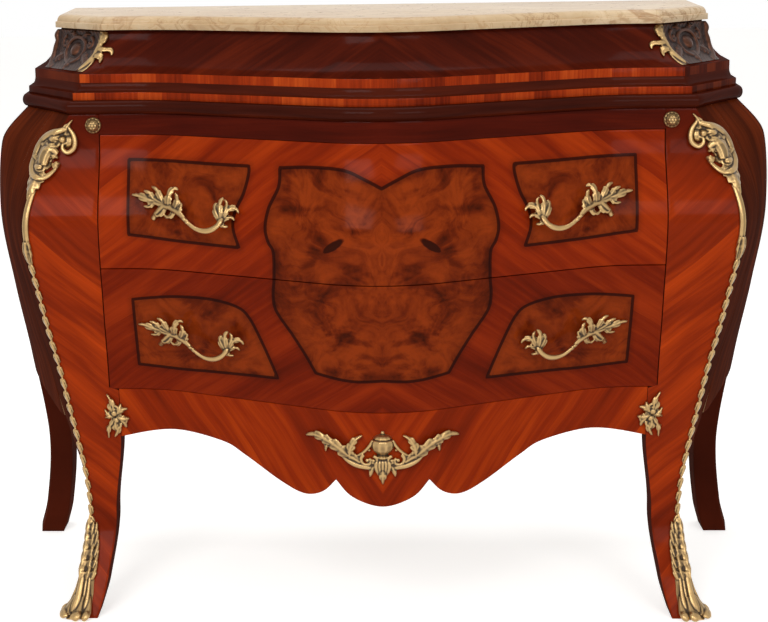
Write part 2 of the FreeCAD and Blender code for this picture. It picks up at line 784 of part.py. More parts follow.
def side_moulding(label, section):
    """Canted corner and side length of a moulding, mitred at each turn."""
    wires = []
    for turn in (top_corner, side_corner, rear_corner):
        def place(outset, height, turn=turn):
            return turn(outset) + Vector(0, 0, height)
        wires.append(Part.Wire([edge.toShape() for edge in section_edges(section, place, True)]))
    return Part.makeLoft(wires, True, True)


def cornice_back():
    """Sawn board that closes the cornice behind, shaped to the back of the mouldings."""
    splay = rear_corner(0).x - side_corner(0).x
    play = size("seat_clearance") + 1.5 * splay * size("back_thickness") / (BACK - side_corner(0).y)
    torus_inner = rear_corner(TORUS_FACE - size("moulding_depth")).x - play
    cornice_inner = rear_corner(FRIEZE_FOOT - size("moulding_depth")).x - play
    head_inner = rear_corner(FRIEZE_HEAD - size("frieze_thickness")).x - play
    hollow_inner = rear_corner((FRIEZE_HEAD + FRIEZE_FOOT) / 2 - size("frieze_hollow")
                               - size("frieze_thickness")).x - play
    top = FRIEZE_TOP - size("top_board_thickness")
    right = [(torus_inner, CASE_TOP), (torus_inner, TORUS_TOP), (cornice_inner, TORUS_TOP),
             (cornice_inner, FRIEZE_BOTTOM), (hollow_inner, FRIEZE_BOTTOM + size("frieze_height") / 3),
             (head_inner, top)]
    points = right + [(-x, z) for x, z in reversed(right)]
    body = document.addObject("PartDesign::Body", "cornice_back")
    outline = sketch_on(body, "cornice_back_outline", "XZ_Plane")
    outline.setExpression("AttachmentOffset.Base.z", "-Sizes.case_depth / 2 + Sizes.back_thickness")
    outline.addGeometry(closed_lines([Vector(x, z, 0) for x, z in points]), False)
    document.recompute()
    pad = body.newObject("PartDesign::Pad", "cornice_back_pad")
    pad.Profile = outline
    pad.setExpression("Length", "Sizes.back_thickness")
    pad.Reversed = True
    document.recompute()
    return body


keep(cornice_back(), "cornice_back")
for moulding, section, widest in (("frieze", frieze_section(), FRIEZE_FOOT),
                                  ("cornice", cornice_section(), FILLET_FACE),
                                  ("torus", torus_section(), TORUS_FACE + TORUS_RADIUS)):
    front_moulding(moulding + "_front", section, widest)
    both_sides(moulding, side_moulding(moulding, section))


# ---------------------------------------------------------------- drawers

DRAWER_FLOOR = {"upper": MID_TOP + size("runner_height"), "lower": BOTTOM_TOP + size("runner_height")}
DRAWER_SPAN = {"upper": (SPLIT, OPENING_TOP), "lower": (KNEE, SPLIT)}

# The same levels and depths as expressions on the sheet, for the boards that are bound to it.
SEAT = {"upper": "Sizes.leg_height + Sizes.lower_front_height + Sizes.mid_board_thickness / 2",
        "lower": "Sizes.leg_height - Sizes.bottom_board_drop"}
HEADROOM = {"upper": "(Sizes.leg_height + Sizes.lower_front_height + Sizes.upper_front_height)",
            "lower": "(Sizes.leg_height + Sizes.lower_front_height - Sizes.mid_board_thickness / 2)"}
BOX_FRONT = "(Sizes.bow_depth - Sizes.case_depth / 2 + max(Sizes.setback_knee; Sizes.setback_top)" \
    " + Sizes.front_wall)"
POST_REAR = "(Sizes.bow_depth - Sizes.case_depth / 2 + Sizes.post_depth)"
PANEL_FRONT = "(Sizes.case_depth / 2 - Sizes.back_rebate - Sizes.back_thickness)"
BOX_REAR = "(" + PANEL_FRONT + " - Sizes.drawer_back_clearance)"


def handle_line(side, drawer):
    """Where a handle hangs: its outer tip on the drawer front."""
    low = DRAWER_SPAN[drawer][0]
    return side * (OPENING - size("handle_tip_inset")), low + size("handle_" + drawer + "_level")


# Where the handle's bar passes, as shares of its length, of its sag and of its stand-off.
HANDLE_COURSE = {
    "tip": (0.07, 0.02, 0.36), "outer_foot": (0.23, 0.09, 0.6), "shoulder": (0.41, 0.28, 0.8),
    "upper_bar": (0.54, 0.62, 0.96), "middle_bar": (0.67, 0.94, 1.0), "lowest": (0.77, 1.0, 1.0),
    "rising_bar": (0.87, 0.87, 0.88), "inner_foot": (0.96, 0.57, 0.64), "end": (1.0, 0.36, 0.48),
}
HANDLE_FEET = ("outer_foot", "inner_foot")
# Leaves of a handle: the place that each grows from, its turn in degrees, and its length as a share.
HANDLE_LEAVES = (
    ("tip", 178, 0.15), ("tip", 138, 0.17), ("outer_foot", 62, 0.17), ("shoulder", 96, 0.15),
    ("outer_foot", -112, 0.16), ("shoulder", -78, 0.13), ("inner_foot", 88, 0.17), ("end", 52, 0.19),
    ("end", 4, 0.16), ("inner_foot", -62, 0.12),
)


def on_front(side, drawer, spot, standoff=None):
    """A point of a handle's course, or one at another stand-off from the drawer front there."""
    along_x, drop, proud = HANDLE_COURSE[spot]
    tip_x, tip_z = handle_line(side, drawer)
    x, z = tip_x - side * along_x * size("handle_length"), tip_z - drop * size("handle_sag")
    return Vector(x, front_y(x, z) - (proud * size("handle_standoff") if standoff is None else standoff), z)


def leaf(root, side, turn, length):
    """A cast leaf: two arcs meeting at a point, lying parallel to the drawer front."""
    width, half = 0.22 * length, size("leaf_thickness") / 2
    arcs = [Part.Arc(Vector(0, 0, 0), Vector(length / 2, 0, width), Vector(length, 0, 0)),
            Part.Arc(Vector(length, 0, 0), Vector(length / 2, 0, -width), Vector(0, 0, 0))]
    face = Part.Face(Part.Wire([arc.toShape() for arc in arcs]))
    face.translate(Vector(0, -half, 0))
    blade = face.extrude(Vector(0, 2 * half, 0))
    angle = -turn if side < 0 else turn + 180
    blade.rotate(Vector(0, 0, 0), Vector(0, 1, 0), angle)
    lean = (bow(root.x + 10) - bow(root.x - 10)) / 20
    blade.rotate(Vector(0, 0, 0), Vector(0, 0, 1), math.degrees(math.atan(lean)))
    blade.translate(root)
    return blade


def out_of_front(x, z):
    """Direction that points straight out of the case front."""
    return Vector((front_y(x + 1, z) - front_y(x - 1, z)) / 2, -1,
                  (front_y(x, z + 1) - front_y(x, z - 1)) / 2).normalize()


def handle(side, drawer):
    """Branch handle: a drooping cast bar on two feet that lie flat on the wood, leaves at both ends."""
    course = {spot: on_front(side, drawer, spot) for spot in HANDLE_COURSE}
    path = spline(list(course.values()))
    start = path.tangent(path.FirstParameter)[0]
    ring = Part.Wire(Part.makeCircle(size("handle_tube_radius"), course["tip"], start))
    solid = Part.Wire(path.toShape()).makePipeShell([ring], True, True)
    parts = []
    for spot in HANDLE_FEET:
        seat = on_front(side, drawer, spot, 0)
        normal = out_of_front(seat.x, seat.z)
        rings = [Part.makeCircle(size("handle_foot_radius"), seat + normal * size("seat_clearance"), normal),
                 Part.makeCircle(0.75 * size("handle_tube_radius"), course[spot], normal)]
        parts.append(Part.makeLoft([Part.Wire(ring) for ring in rings], True, True))
    for spot, turn, length in HANDLE_LEAVES:
        parts.append(leaf(course[spot], side, turn, length * size("handle_length")))
    return solid.fuse(parts)


def drawer(name):
    """One drawer: bowed and swelling front, two sides, back, bottom, handles and screws."""
    low, high = DRAWER_SPAN[name]
    gap = size("front_gap") / 2
    front = front_sweep(name + "_drawer_front", case_profile(low + gap, high - gap, FRONT_BACK),
                        OPENING - size("side_gap"), "Sizes.opening_half_width - Sizes.side_gap")
    drill = sketch_on(front, name + "_screw_holes", "XZ_Plane")
    shanks = []
    for side in (1, -1):
        for spot in HANDLE_FEET:
            tip = on_front(side, name, spot, -size("screw_radius"))
            drill.addGeometry(Part.Circle(Vector(tip.x, tip.z, 0), Vector(0, 0, 1),
                                          size("screw_hole_radius")), False)
            rear = BELLY_FRONT + bow(tip.x) + FRONT_BACK
            reach = rear - tip.y + size("bow_radius") * 0.02
            shank = Part.makeCylinder(size("screw_radius"), reach, tip, Vector(0, 1, 0))
            head = Part.makeCylinder(size("screw_head_radius"), size("screw_head_height"),
                                     Vector(tip.x, tip.y + reach, tip.z), Vector(0, 1, 0))
            shanks.append(shank.fuse(head).removeSplitter())
    document.recompute()
    holes = front.newObject("PartDesign::Pocket", name + "_screw_bores")
    holes.Profile = drill
    holes.Type = "ThroughAll"
    holes.Reversed = True
    document.recompute()
    keep(front, name + "_drawer_front")

    floor = SEAT[name] + " + Sizes.runner_height + Sizes.slide_clearance"
    height = HEADROOM[name] + " - Sizes.drawer_top_clearance - (" + floor + ")"
    outer = "(Sizes.opening_half_width - Sizes.drawer_side_play)"
    for label, x in (("right", outer + " - Sizes.drawer_side_thickness"), ("left", "-" + outer)):
        board = box(name + "_drawer_side_" + label, "Sizes.drawer_side_thickness",
                    BOX_REAR + " - " + BOX_FRONT, height, x, BOX_FRONT, floor)
        keep(board, name + "_drawer_side_" + label)
    inner = outer + " - Sizes.drawer_side_thickness"
    back_board = box(name + "_drawer_back", "2 * (" + inner + ")", "Sizes.drawer_back_thickness",
                     height, "-(" + inner + ")", BOX_REAR + " - Sizes.drawer_back_thickness", floor)
    keep(back_board, name + "_drawer_back")

    half = OPENING - size("drawer_side_play") - size("drawer_side_thickness")
    rear_y = BACK_PANEL_FRONT - size("drawer_back_clearance") - size("drawer_back_thickness")
    front_line = bow_edges(half, FRONT_BACK + size("seat_clearance"))
    end = front_line[-1].EndPoint
    path = [end, Vector(half, rear_y, 0), Vector(-half, rear_y, 0), Vector(-end.x, end.y, 0)]
    edges = front_line + [line(a, b) for a, b in zip(path, path[1:])]
    keep(outline_pad(name + "_drawer_bottom", edges, "Sizes.drawer_bottom_thickness",
                     DRAWER_FLOOR[name] + size("slide_clearance") + size("drawer_bottom_rise")),
         name + "_drawer_bottom")
    shape_node(name + "_handle_screws", Part.makeCompound(shanks))
    for label, side in (("right", 1), ("left", -1)):
        shape_node(name + "_handle_" + label, handle(side, name))


for drawer_name in ("upper", "lower"):
    drawer(drawer_name)


def runner(name, side):
    """Bearer and guide strip on which a drawer's side slides."""
    sign = "" if side > 0 else "-"
    length = PANEL_FRONT + " - " + POST_REAR + " - 2 * Sizes.seat_clearance"
    start = POST_REAR + " + Sizes.seat_clearance"
    inner_edge = "(Sizes.opening_half_width - Sizes.runner_width)"
    bearer_x = inner_edge if side > 0 else "-(Sizes.opening_half_width + Sizes.runner_width)"
    guide_x = sign + "Sizes.opening_half_width" if side > 0 else "-(Sizes.opening_half_width" \
        " + Sizes.runner_width)"
    word = "right" if side > 0 else "left"
    label = f"{name}_runner_{word}"
    bearer = box(label + "_bearer", "2 * Sizes.runner_width", length, "Sizes.runner_height",
                 bearer_x, start, SEAT[name])
    guide = box(label + "_guide", "Sizes.runner_width", length, "Sizes.guide_height",
                guide_x, start, SEAT[name])
    fused = document.addObject("Part::Fuse", label)
    fused.Base = bearer
    fused.Tool = guide
    fused.Refine = True
    keep(fused, label)


for drawer_name in ("upper", "lower"):
    for side in (1, -1):
        runner(drawer_name, side)


# ---------------------------------------------------------------- brass mounts

def oval(centre, inner, outer, ahead, behind):
    """Closed oval at the corner line, with its own reach inwards, outwards, forwards and backwards."""
    middle = centre + Vector((outer - inner) / 2, 0, 0)
    ring = []
    for i in range(12):
        turn = math.pi * i / 6
        deep = behind if math.sin(turn) > 0 else ahead
        ring.append(middle + Vector((outer + inner) / 2 * math.cos(turn), deep * math.sin(turn), 0))
    curve = Part.BSplineCurve()
    curve.interpolate(ring, PeriodicFlag=True)
    return Part.Wire(curve.toShape())


def corner_sleeve(low, high, stations, width):
    """Casting that wraps the front corner: ovals stacked along it, from the bottom up.

    Each station holds its height as a share, and its four reaches as shares of the width.
    """
    wires = [oval(corner(low + share * (high - low)), *[reach * width for reach in reaches])
             for share, *reaches in stations]
    return Part.makeLoft(wires, True, True)


def largest(shape):
    """The biggest solid of a cut, which is the piece itself."""
    return max(shape.Solids, key=lambda solid: solid.Volume)


def seated(casting, *wood):
    """The casting hollowed to sit on the named pieces, a seat's clearance ahead of and outside them."""
    lift = Vector(size("seat_clearance"), -size("seat_clearance"), 0)
    hollows = [document.getObject(name).Shape.translated(lift) for name in wood]
    return largest(casting.cut(hollows))


SHOULDER_TOP = CASE_TOP - size("shoulder_mount_drop")
SHOULDER_FOOT = SHOULDER_TOP - size("shoulder_mount_height")
# Shoulder mount from its foot up: it swells to two shells with a notch between, and ends in a stalk.
SHOULDER_STATIONS = (
    (0.0, 0.2, 0.14, 0.15, 0.15), (0.15, 0.33, 0.25, 0.2, 0.3), (0.3, 0.55, 0.3, 0.24, 0.45),
    (0.41, 0.76, 0.4, 0.27, 0.55), (0.49, 0.5, 0.5, 0.26, 0.6), (0.58, 0.95, 0.52, 0.28, 0.7),
    (0.66, 1.0, 0.5, 0.3, 0.7), (0.78, 0.8, 0.36, 0.3, 0.55), (0.9, 0.42, 0.06, 0.22, 0.3),
    (1.0, 0.3, -0.1, 0.15, 0.1),
)
# Sabot from the floor up: toes, instep and a leafy cuff.
SABOT_STATIONS = (
    (0.0, 0.7, 0.6, 0.6, 0.85), (0.08, 0.8, 0.68, 0.62, 0.9), (0.2, 0.98, 0.5, 0.4, 0.8),
    (0.3, 0.86, 0.36, 0.32, 0.7), (0.57, 0.54, 0.34, 0.3, 0.6), (0.7, 0.36, 0.34, 0.3, 0.5),
    (0.8, 0.3, 0.38, 0.32, 0.5), (1.0, 0.16, 0.24, 0.22, 0.3),
)


def shoulder_mount():
    """Shell mount over the top of the front corner."""
    sleeve = corner_sleeve(SHOULDER_FOOT, SHOULDER_TOP, SHOULDER_STATIONS, size("shoulder_mount_width"))
    return seated(sleeve, "front_post_right", "side_panel_right")


def corner_band():
    """Round band and a chain of husks, from the shoulder mount down to the sabot."""
    high, low = SHOULDER_FOOT, size("sabot_height")
    chain_top = high - 0.18 * (high - low)
    rings = []
    for i, level in enumerate(levels_between(low, high, size("husk_length") / 2)):
        waist = 0.6 if i % 2 == 0 and level < chain_top else 1.0
        rings.append(Part.Wire(Part.makeCircle(waist * size("band_radius"), corner(level))))
    return seated(Part.makeLoft(rings, True, True), "front_post_right")


def paw_sabot():
    """Sabot that caps the foot: a leafy cuff over an instep, with four toes on the floor."""
    sleeve = corner_sleeve(0, size("sabot_height"), SABOT_STATIONS, size("sabot_width"))
    radius, foot = size("toe_radius"), corner(0)
    toes = []
    for turn in (-105, -65, -25, 15):
        toe = Part.makeSphere(radius)
        toe.translate(foot + Vector(0.55 * size("sabot_width") * math.cos(math.radians(turn)),
                                    0.55 * size("sabot_width") * math.sin(math.radians(turn)), 0.8 * radius))
        toes.append(toe)
    floor = Part.makeBox(2 * BACK, 2 * BACK, radius, Vector(foot.x - BACK, foot.y - BACK, -radius))
    return seated(sleeve.fuse(toes).cut(floor), "front_post_right")


both_sides("shoulder_mount", shoulder_mount())
both_sides("corner_band", corner_band())
both_sides("paw_sabot", paw_sabot())


def frieze_mount():
    """Cartouche plate that follows the hollow of the frieze across its canted corner."""
    lift = size("seat_clearance")
    hollow = arc_points(*frieze_section()[0][1:])
    hollow[0] = (hollow[0][0], hollow[0][1] - 1)
    hollow[-1] = (hollow[-1][0], hollow[-1][1] + 1)
    wires = []
    for share in (0.06, 0.94):
        def place(outset, height, share=share):
            spot = top_corner(outset) * (1 - share) + side_corner(outset) * share
            return spot + Vector(0, 0, height)
        near = [place(outset + lift, height) for outset, height in hollow]
        far = [place(outset + size("frieze_mount_thickness"), height) for outset, height in reversed(hollow)]
        edges = [spline(near), line(near[-1], far[0]), spline(far), line(far[-1], near[0])]
        wires.append(Part.Wire([edge.toShape() for edge in edges]))
    return Part.makeLoft(wires, True, True)


both_sides("frieze_mount", frieze_mount())


def front_relief(outline, low, high, half, thickness):
    """A mount on the front: its outline cut from a layer that follows the case surface."""
    lift = size("seat_clearance")
    half = max(half, BOW_END)
    shifted = [Vector(0, STILE_FRONT + along(SETBACKS, z) - lift, z) for z in levels_between(low, high, 25)]
    ahead = [point - Vector(0, thickness, 0) for point in reversed(shifted)]
    edges = [spline(shifted), line(shifted[-1], ahead[0]), spline(ahead), line(ahead[-1], shifted[0])]
    section = Part.Wire([edge.toShape() for edge in edges])
    section.translate(Vector(-half, 0, 0))
    path = Part.Wire([edge.toShape() for edge in bow_edges(half, 0)])
    sweep = Part.BRepOffsetAPI.MakePipeShell(path)
    sweep.setTrihedronMode(Vector(-half, 0, 0), Vector(0, 0, 1))
    sweep.add(section, False, False)
    sweep.build()
    sweep.makeSolid()
    cutter = Part.Face(outline)
    cutter.translate(Vector(0, -2 * BACK, 0))
    return sweep.shape().common(cutter.extrude(Vector(0, 2 * BACK + POST_BACK, 0)))


def run_edges(runs, place):
    """Edges of an outline that is given as runs of points: smooth along a run, sharp between two."""
    edges = []
    for run in runs:
        points = [place(*point) for point in run]
        edges.append(spline(points) if len(points) > 2 else line(*points))
    return edges


# Right half of the apron's centre mount, as shares of its half width and height from its top middle:
# urn, scroll arm, inner leaf, long leaf with its drop, and the pointed leaf below.
APRON_SPRAY = (
    ((0, 0), (0.1, 0.08), (0.155, 0.24), (0.16, 0.33)), ((0.16, 0.33), (0.28, 0.47), (0.37, 0.5)),
    ((0.37, 0.5), (0.43, 0.31), (0.365, 0.16), (0.26, 0.08)), ((0.26, 0.08), (0.42, 0.07), (0.49, 0.2)),
    ((0.49, 0.2), (0.64, 0.066), (0.87, 0.02), (1, 0.14)), ((1, 0.14), (0.83, 0.26), (0.73, 0.255)),
    ((0.73, 0.255), (0.73, 0.43)), ((0.73, 0.43), (0.61, 0.48), (0.5, 0.58), (0.32, 0.69), (0.18, 0.68)),
    ((0.18, 0.68), (0.16, 0.855)), ((0.16, 0.855), (0.11, 0.8)), ((0.11, 0.8), (0.08, 0.9), (0, 1)),
)
# Half section of the urn, as shares of its radius and of its height downwards.
URN = (
    ((0, 0), (0.15, 0.03), (0.12, 0.1)), ((0.12, 0.1), (0.45, 0.15), (0.85, 0.27)), ((0.85, 0.27), (0.8, 0.31)),
    ((0.8, 0.31), (1, 0.45), (0.9, 0.7), (0.3, 0.88)), ((0.3, 0.88), (0.35, 1)), ((0.35, 1), (0, 1)),
    ((0, 1), (0, 0)),
)
# Leaf spray at the apron's corner, as shares of its width from its outer edge and of its height.
CORNER_SPRAY = (
    ((0, 0), (0.1, 0.09)), ((0.1, 0.09), (0.21, 0.12), (0.28, 0.22)), ((0.28, 0.22), (0.43, 0.24), (0.59, 0.22), (0.69, 0.3)),
    ((0.69, 0.3), (0.8, 0.29)), ((0.8, 0.29), (0.85, 0.39)), ((0.85, 0.39), (1, 0.49)),
    ((1, 0.49), (0.87, 0.56)), ((0.87, 0.56), (0.81, 0.67)), ((0.81, 0.67), (0.67, 0.69)),
    ((0.67, 0.69), (0.56, 0.77)), ((0.56, 0.77), (0.43, 0.75)), ((0.43, 0.75), (0.3, 0.87)),
    ((0.3, 0.87), (0.21, 0.82)), ((0.21, 0.82), (0.14, 1)), ((0.14, 1), (0.07, 0.85), (0.15, 0.73)),
    ((0.15, 0.73), (0.06, 0.68)), ((0.06, 0.68), (0.21, 0.62)), ((0.21, 0.62), (0.06, 0.485)),
    ((0.06, 0.485), (0.21, 0.42)), ((0.21, 0.42), (0.03, 0.35)), ((0.03, 0.35), (0.17, 0.28)),
    ((0.17, 0.28), (0.04, 0.16)), ((0.04, 0.16), (0, 0)),
)


def apron_centre_mount():
    """Urn between leaf scrolls in the middle of the apron."""
    top, half = KNEE - size("apron_mount_drop"), size("apron_mount_width") / 2
    height, proud, urn_radius = size("apron_mount_height"), size("urn_proud"), size("urn_radius")
    low, high = top - height - size("band_radius"), top + size("band_radius")

    def place(side):
        return lambda x, drop: Vector(side * x * half, 0, top - drop * height)

    left = [run[::-1] for run in reversed(APRON_SPRAY)]
    edges = run_edges(APRON_SPRAY, place(1)) + run_edges(left, place(-1))
    plate = front_relief(Part.Wire([edge.toShape() for edge in edges]), low, high, half,
                         size("mount_thickness"))
    axis_y = front_y(0, top - height / 2) + urn_radius - proud
    section = run_edges(URN, lambda x, drop: Vector(x * urn_radius, axis_y, top - drop * size("urn_height")))
    face = Part.Face(Part.Wire([edge.toShape() for edge in section]))
    turned = face.revolve(Vector(0, axis_y, 0), Vector(0, 0, 1), 360)
    square = [Vector(x, 0, z) for x, z in ((-half, low), (half, low), (half, high), (-half, high))]
    return plate.fuse(front_relief(wire_through(square), low, high, half, 2 * proud).common(turned))


def apron_corner_mount():
    """Leaf spray in the upper corner of the apron, over the joint with the post."""
    width, height = size("corner_mount_width"), size("corner_mount_height")
    outer, top = OPENING + width / 4, KNEE - size("corner_mount_drop")
    edges = run_edges(CORNER_SPRAY, lambda x, drop: Vector(outer - x * width, 0, top - drop * height))
    return front_relief(Part.Wire([edge.toShape() for edge in edges]), top - height - size("band_radius"),
                        top + size("band_radius"), OPENING + width, size("mount_thickness"))


shape_node("apron_centre_mount", largest(apron_centre_mount()))
both_sides("apron_corner_mount", largest(apron_corner_mount()))


def rosette(side, post):
    """Round rosette over the joint of post and top rail: a turned boss with a ring of petals."""
    radius, thick = size("rosette_radius"), size("rosette_thickness")
    label = "rosette_right" if side > 0 else "rosette_left"
    body = document.addObject("PartDesign::Body", label)
    profile = sketch_on(body, label + "_profile", "XZ_Plane")
    boss = [Vector(0, 0, 0), Vector(0.72 * radius, 0, 0), Vector(0.72 * radius, 0.45 * thick, 0),
            Vector(0.4 * radius, 0.55 * thick, 0), Vector(0.3 * radius, thick, 0), Vector(0, thick, 0)]
    profile.addGeometry(closed_lines(boss), False)
    document.recompute()
    turned = body.newObject("PartDesign::Revolution", label + "_boss")
    turned.Profile = profile
    turned.ReferenceAxis = (profile, ["V_Axis"])
    turned.Angle = 360
    petal_sketch = sketch_on(body, label + "_petal", "XY_Plane")
    petal_sketch.addGeometry(Part.Circle(Vector(0.76 * radius, 0, 0), Vector(0, 0, 1), 0.24 * radius), False)
    document.recompute()
    petal = body.newObject("PartDesign::Pad", label + "_petal_pad")
    petal.Profile = petal_sketch
    petal.setExpression("Length", "0.5 * Sizes.rosette_thickness")
    document.recompute()
    ring = body.newObject("PartDesign::PolarPattern", label + "_petals")
    ring.Originals = [petal]
    ring.Axis = ([item for item in body.Origin.OriginFeatures if item.Role == "Z_Axis"][0], [""])
    ring.Angle = 360
    ring.Occurrences = 10
    body.Tip = ring
    level = OPENING_TOP + size("front_gap") / 2 + radius + 0.5
    x = side * (OPENING + size("rosette_outset"))
    footprint = Part.makeBox(2 * radius, size("bow_depth"), 2 * radius,
                             Vector(x - radius, STILE_FRONT, level - radius))
    seat = post.common(footprint).optimalBoundingBox(False).YMin - size("seat_clearance")
    body.Placement = Placement(Vector(x, seat, level), Rotation(Vector(1, 0, 0), 90))
    document.recompute()
    return keep(body, label)


for side, label in ((1, "front_post_right"), (-1, "front_post_left")):
    rosette(side, document.getObject(label).Shape)


# ---------------------------------------------------------------- check and write

document.recompute()
for item in document.Objects:
    if "Invalid" in item.State or "Error" in item.State:
        raise RuntimeError(f"{item.Label} failed: {item.State}")
os.makedirs("parts", exist_ok=True)
for node in nodes:
    if node.Shape.isNull() or not node.Shape.isValid():
        raise RuntimeError(f"{node.Label} has no valid shape")
    node.Shape.exportStep(f"parts/{node.Label}.step")
    bounds = node.Shape.optimalBoundingBox(False)
    print(f"{node.Label:28s} solids {len(node.Shape.Solids)} volume {node.Shape.Volume / 1000:9.1f} cm3 "
          f"X {bounds.XMin:7.1f} {bounds.XMax:7.1f} Y {bounds.YMin:7.1f} {bounds.YMax:7.1f} "
          f"Z {bounds.ZMin:7.1f} {bounds.ZMax:7.1f}")
print(len(nodes), "sub-parts written")
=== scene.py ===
"""Bombe chest of two drawers, dressed in veneer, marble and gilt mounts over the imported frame.

The whole case is one form: a bowed plan line carried up a swelling profile, with sides that turn
from a canted corner at the top into a full curve at the belly. The veneered skins, the mouldings
and the mounts are all worked out from that form, so they meet as the real pieces do. The form's
own sizes are in millimetres, and every mesh is written in metres.
"""

import logging
import math
from dataclasses import dataclass, field
from enum import Enum, IntEnum
from functools import cached_property
from typing import Any, Callable, Sequence

import bpy
import numpy as np
from bpy.types import Material, NodeSocket, Object
from mathutils import Matrix, Vector

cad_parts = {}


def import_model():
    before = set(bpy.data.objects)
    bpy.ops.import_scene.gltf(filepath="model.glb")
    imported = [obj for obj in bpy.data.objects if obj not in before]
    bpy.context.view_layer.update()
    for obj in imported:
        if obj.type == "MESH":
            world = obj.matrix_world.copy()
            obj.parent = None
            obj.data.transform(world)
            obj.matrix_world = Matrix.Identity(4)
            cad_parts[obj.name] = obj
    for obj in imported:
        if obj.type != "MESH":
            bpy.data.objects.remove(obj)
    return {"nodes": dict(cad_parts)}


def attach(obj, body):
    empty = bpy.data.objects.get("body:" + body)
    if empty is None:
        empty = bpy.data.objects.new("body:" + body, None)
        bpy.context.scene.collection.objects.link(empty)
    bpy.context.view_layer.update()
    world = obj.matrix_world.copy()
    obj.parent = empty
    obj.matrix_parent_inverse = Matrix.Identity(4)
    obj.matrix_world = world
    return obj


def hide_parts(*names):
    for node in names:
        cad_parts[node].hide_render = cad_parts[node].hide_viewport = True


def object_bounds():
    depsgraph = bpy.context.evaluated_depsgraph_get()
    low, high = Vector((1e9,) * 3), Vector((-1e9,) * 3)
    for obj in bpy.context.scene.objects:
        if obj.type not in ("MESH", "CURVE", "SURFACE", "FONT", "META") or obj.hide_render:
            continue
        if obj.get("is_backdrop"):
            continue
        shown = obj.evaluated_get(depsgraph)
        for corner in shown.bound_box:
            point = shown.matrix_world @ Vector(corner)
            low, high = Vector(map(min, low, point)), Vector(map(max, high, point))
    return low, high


MM = 0.001
LOG = logging.getLogger("bombe_chest")
Point = tuple[float, float]
Spot = tuple[float, float, float]
Knot = tuple[float, ...]
Colour = tuple[int, int, int]
Form = Callable[[float, float, float], Vector]
Ground = Callable[[float, float, float], Sequence[float]]
Layer = tuple[Material, Callable[[Vector, Vector], bool]]


def place(x: float, y: float, z: float) -> Vector:
    """Turn a point of the case form, in millimetres, into metres."""
    return Vector((x, y, z)) * MM


class Side(IntEnum):
    """The chest's two sides, as the sign of the distance from its middle."""

    RIGHT = 1
    LEFT = -1

    @property
    def word(self) -> str:
        """The side's word in a piece's name."""
        return self.name.lower()


def eased(share: float) -> float:
    """Smooth step of a share, held between nought and one."""
    share = min(max(share, 0.0), 1.0)
    return share * share * (3 - 2 * share)


def tint(red: int, green: int, blue: int) -> tuple[float, float, float, float]:
    """Turn an 8-bit colour, as a paint chart gives it, into a shader's linear one.

    Args:
        red, green, blue: its channels, from 0 to 255.

    Returns:
        The linear colour, opaque.
    """
    linear = [channel / 255 / 12.92 if channel <= 10 else ((channel / 255 + 0.055) / 1.055) ** 2.4
              for channel in (red, green, blue)]
    return (*linear, 1.0)


# ---- the case form

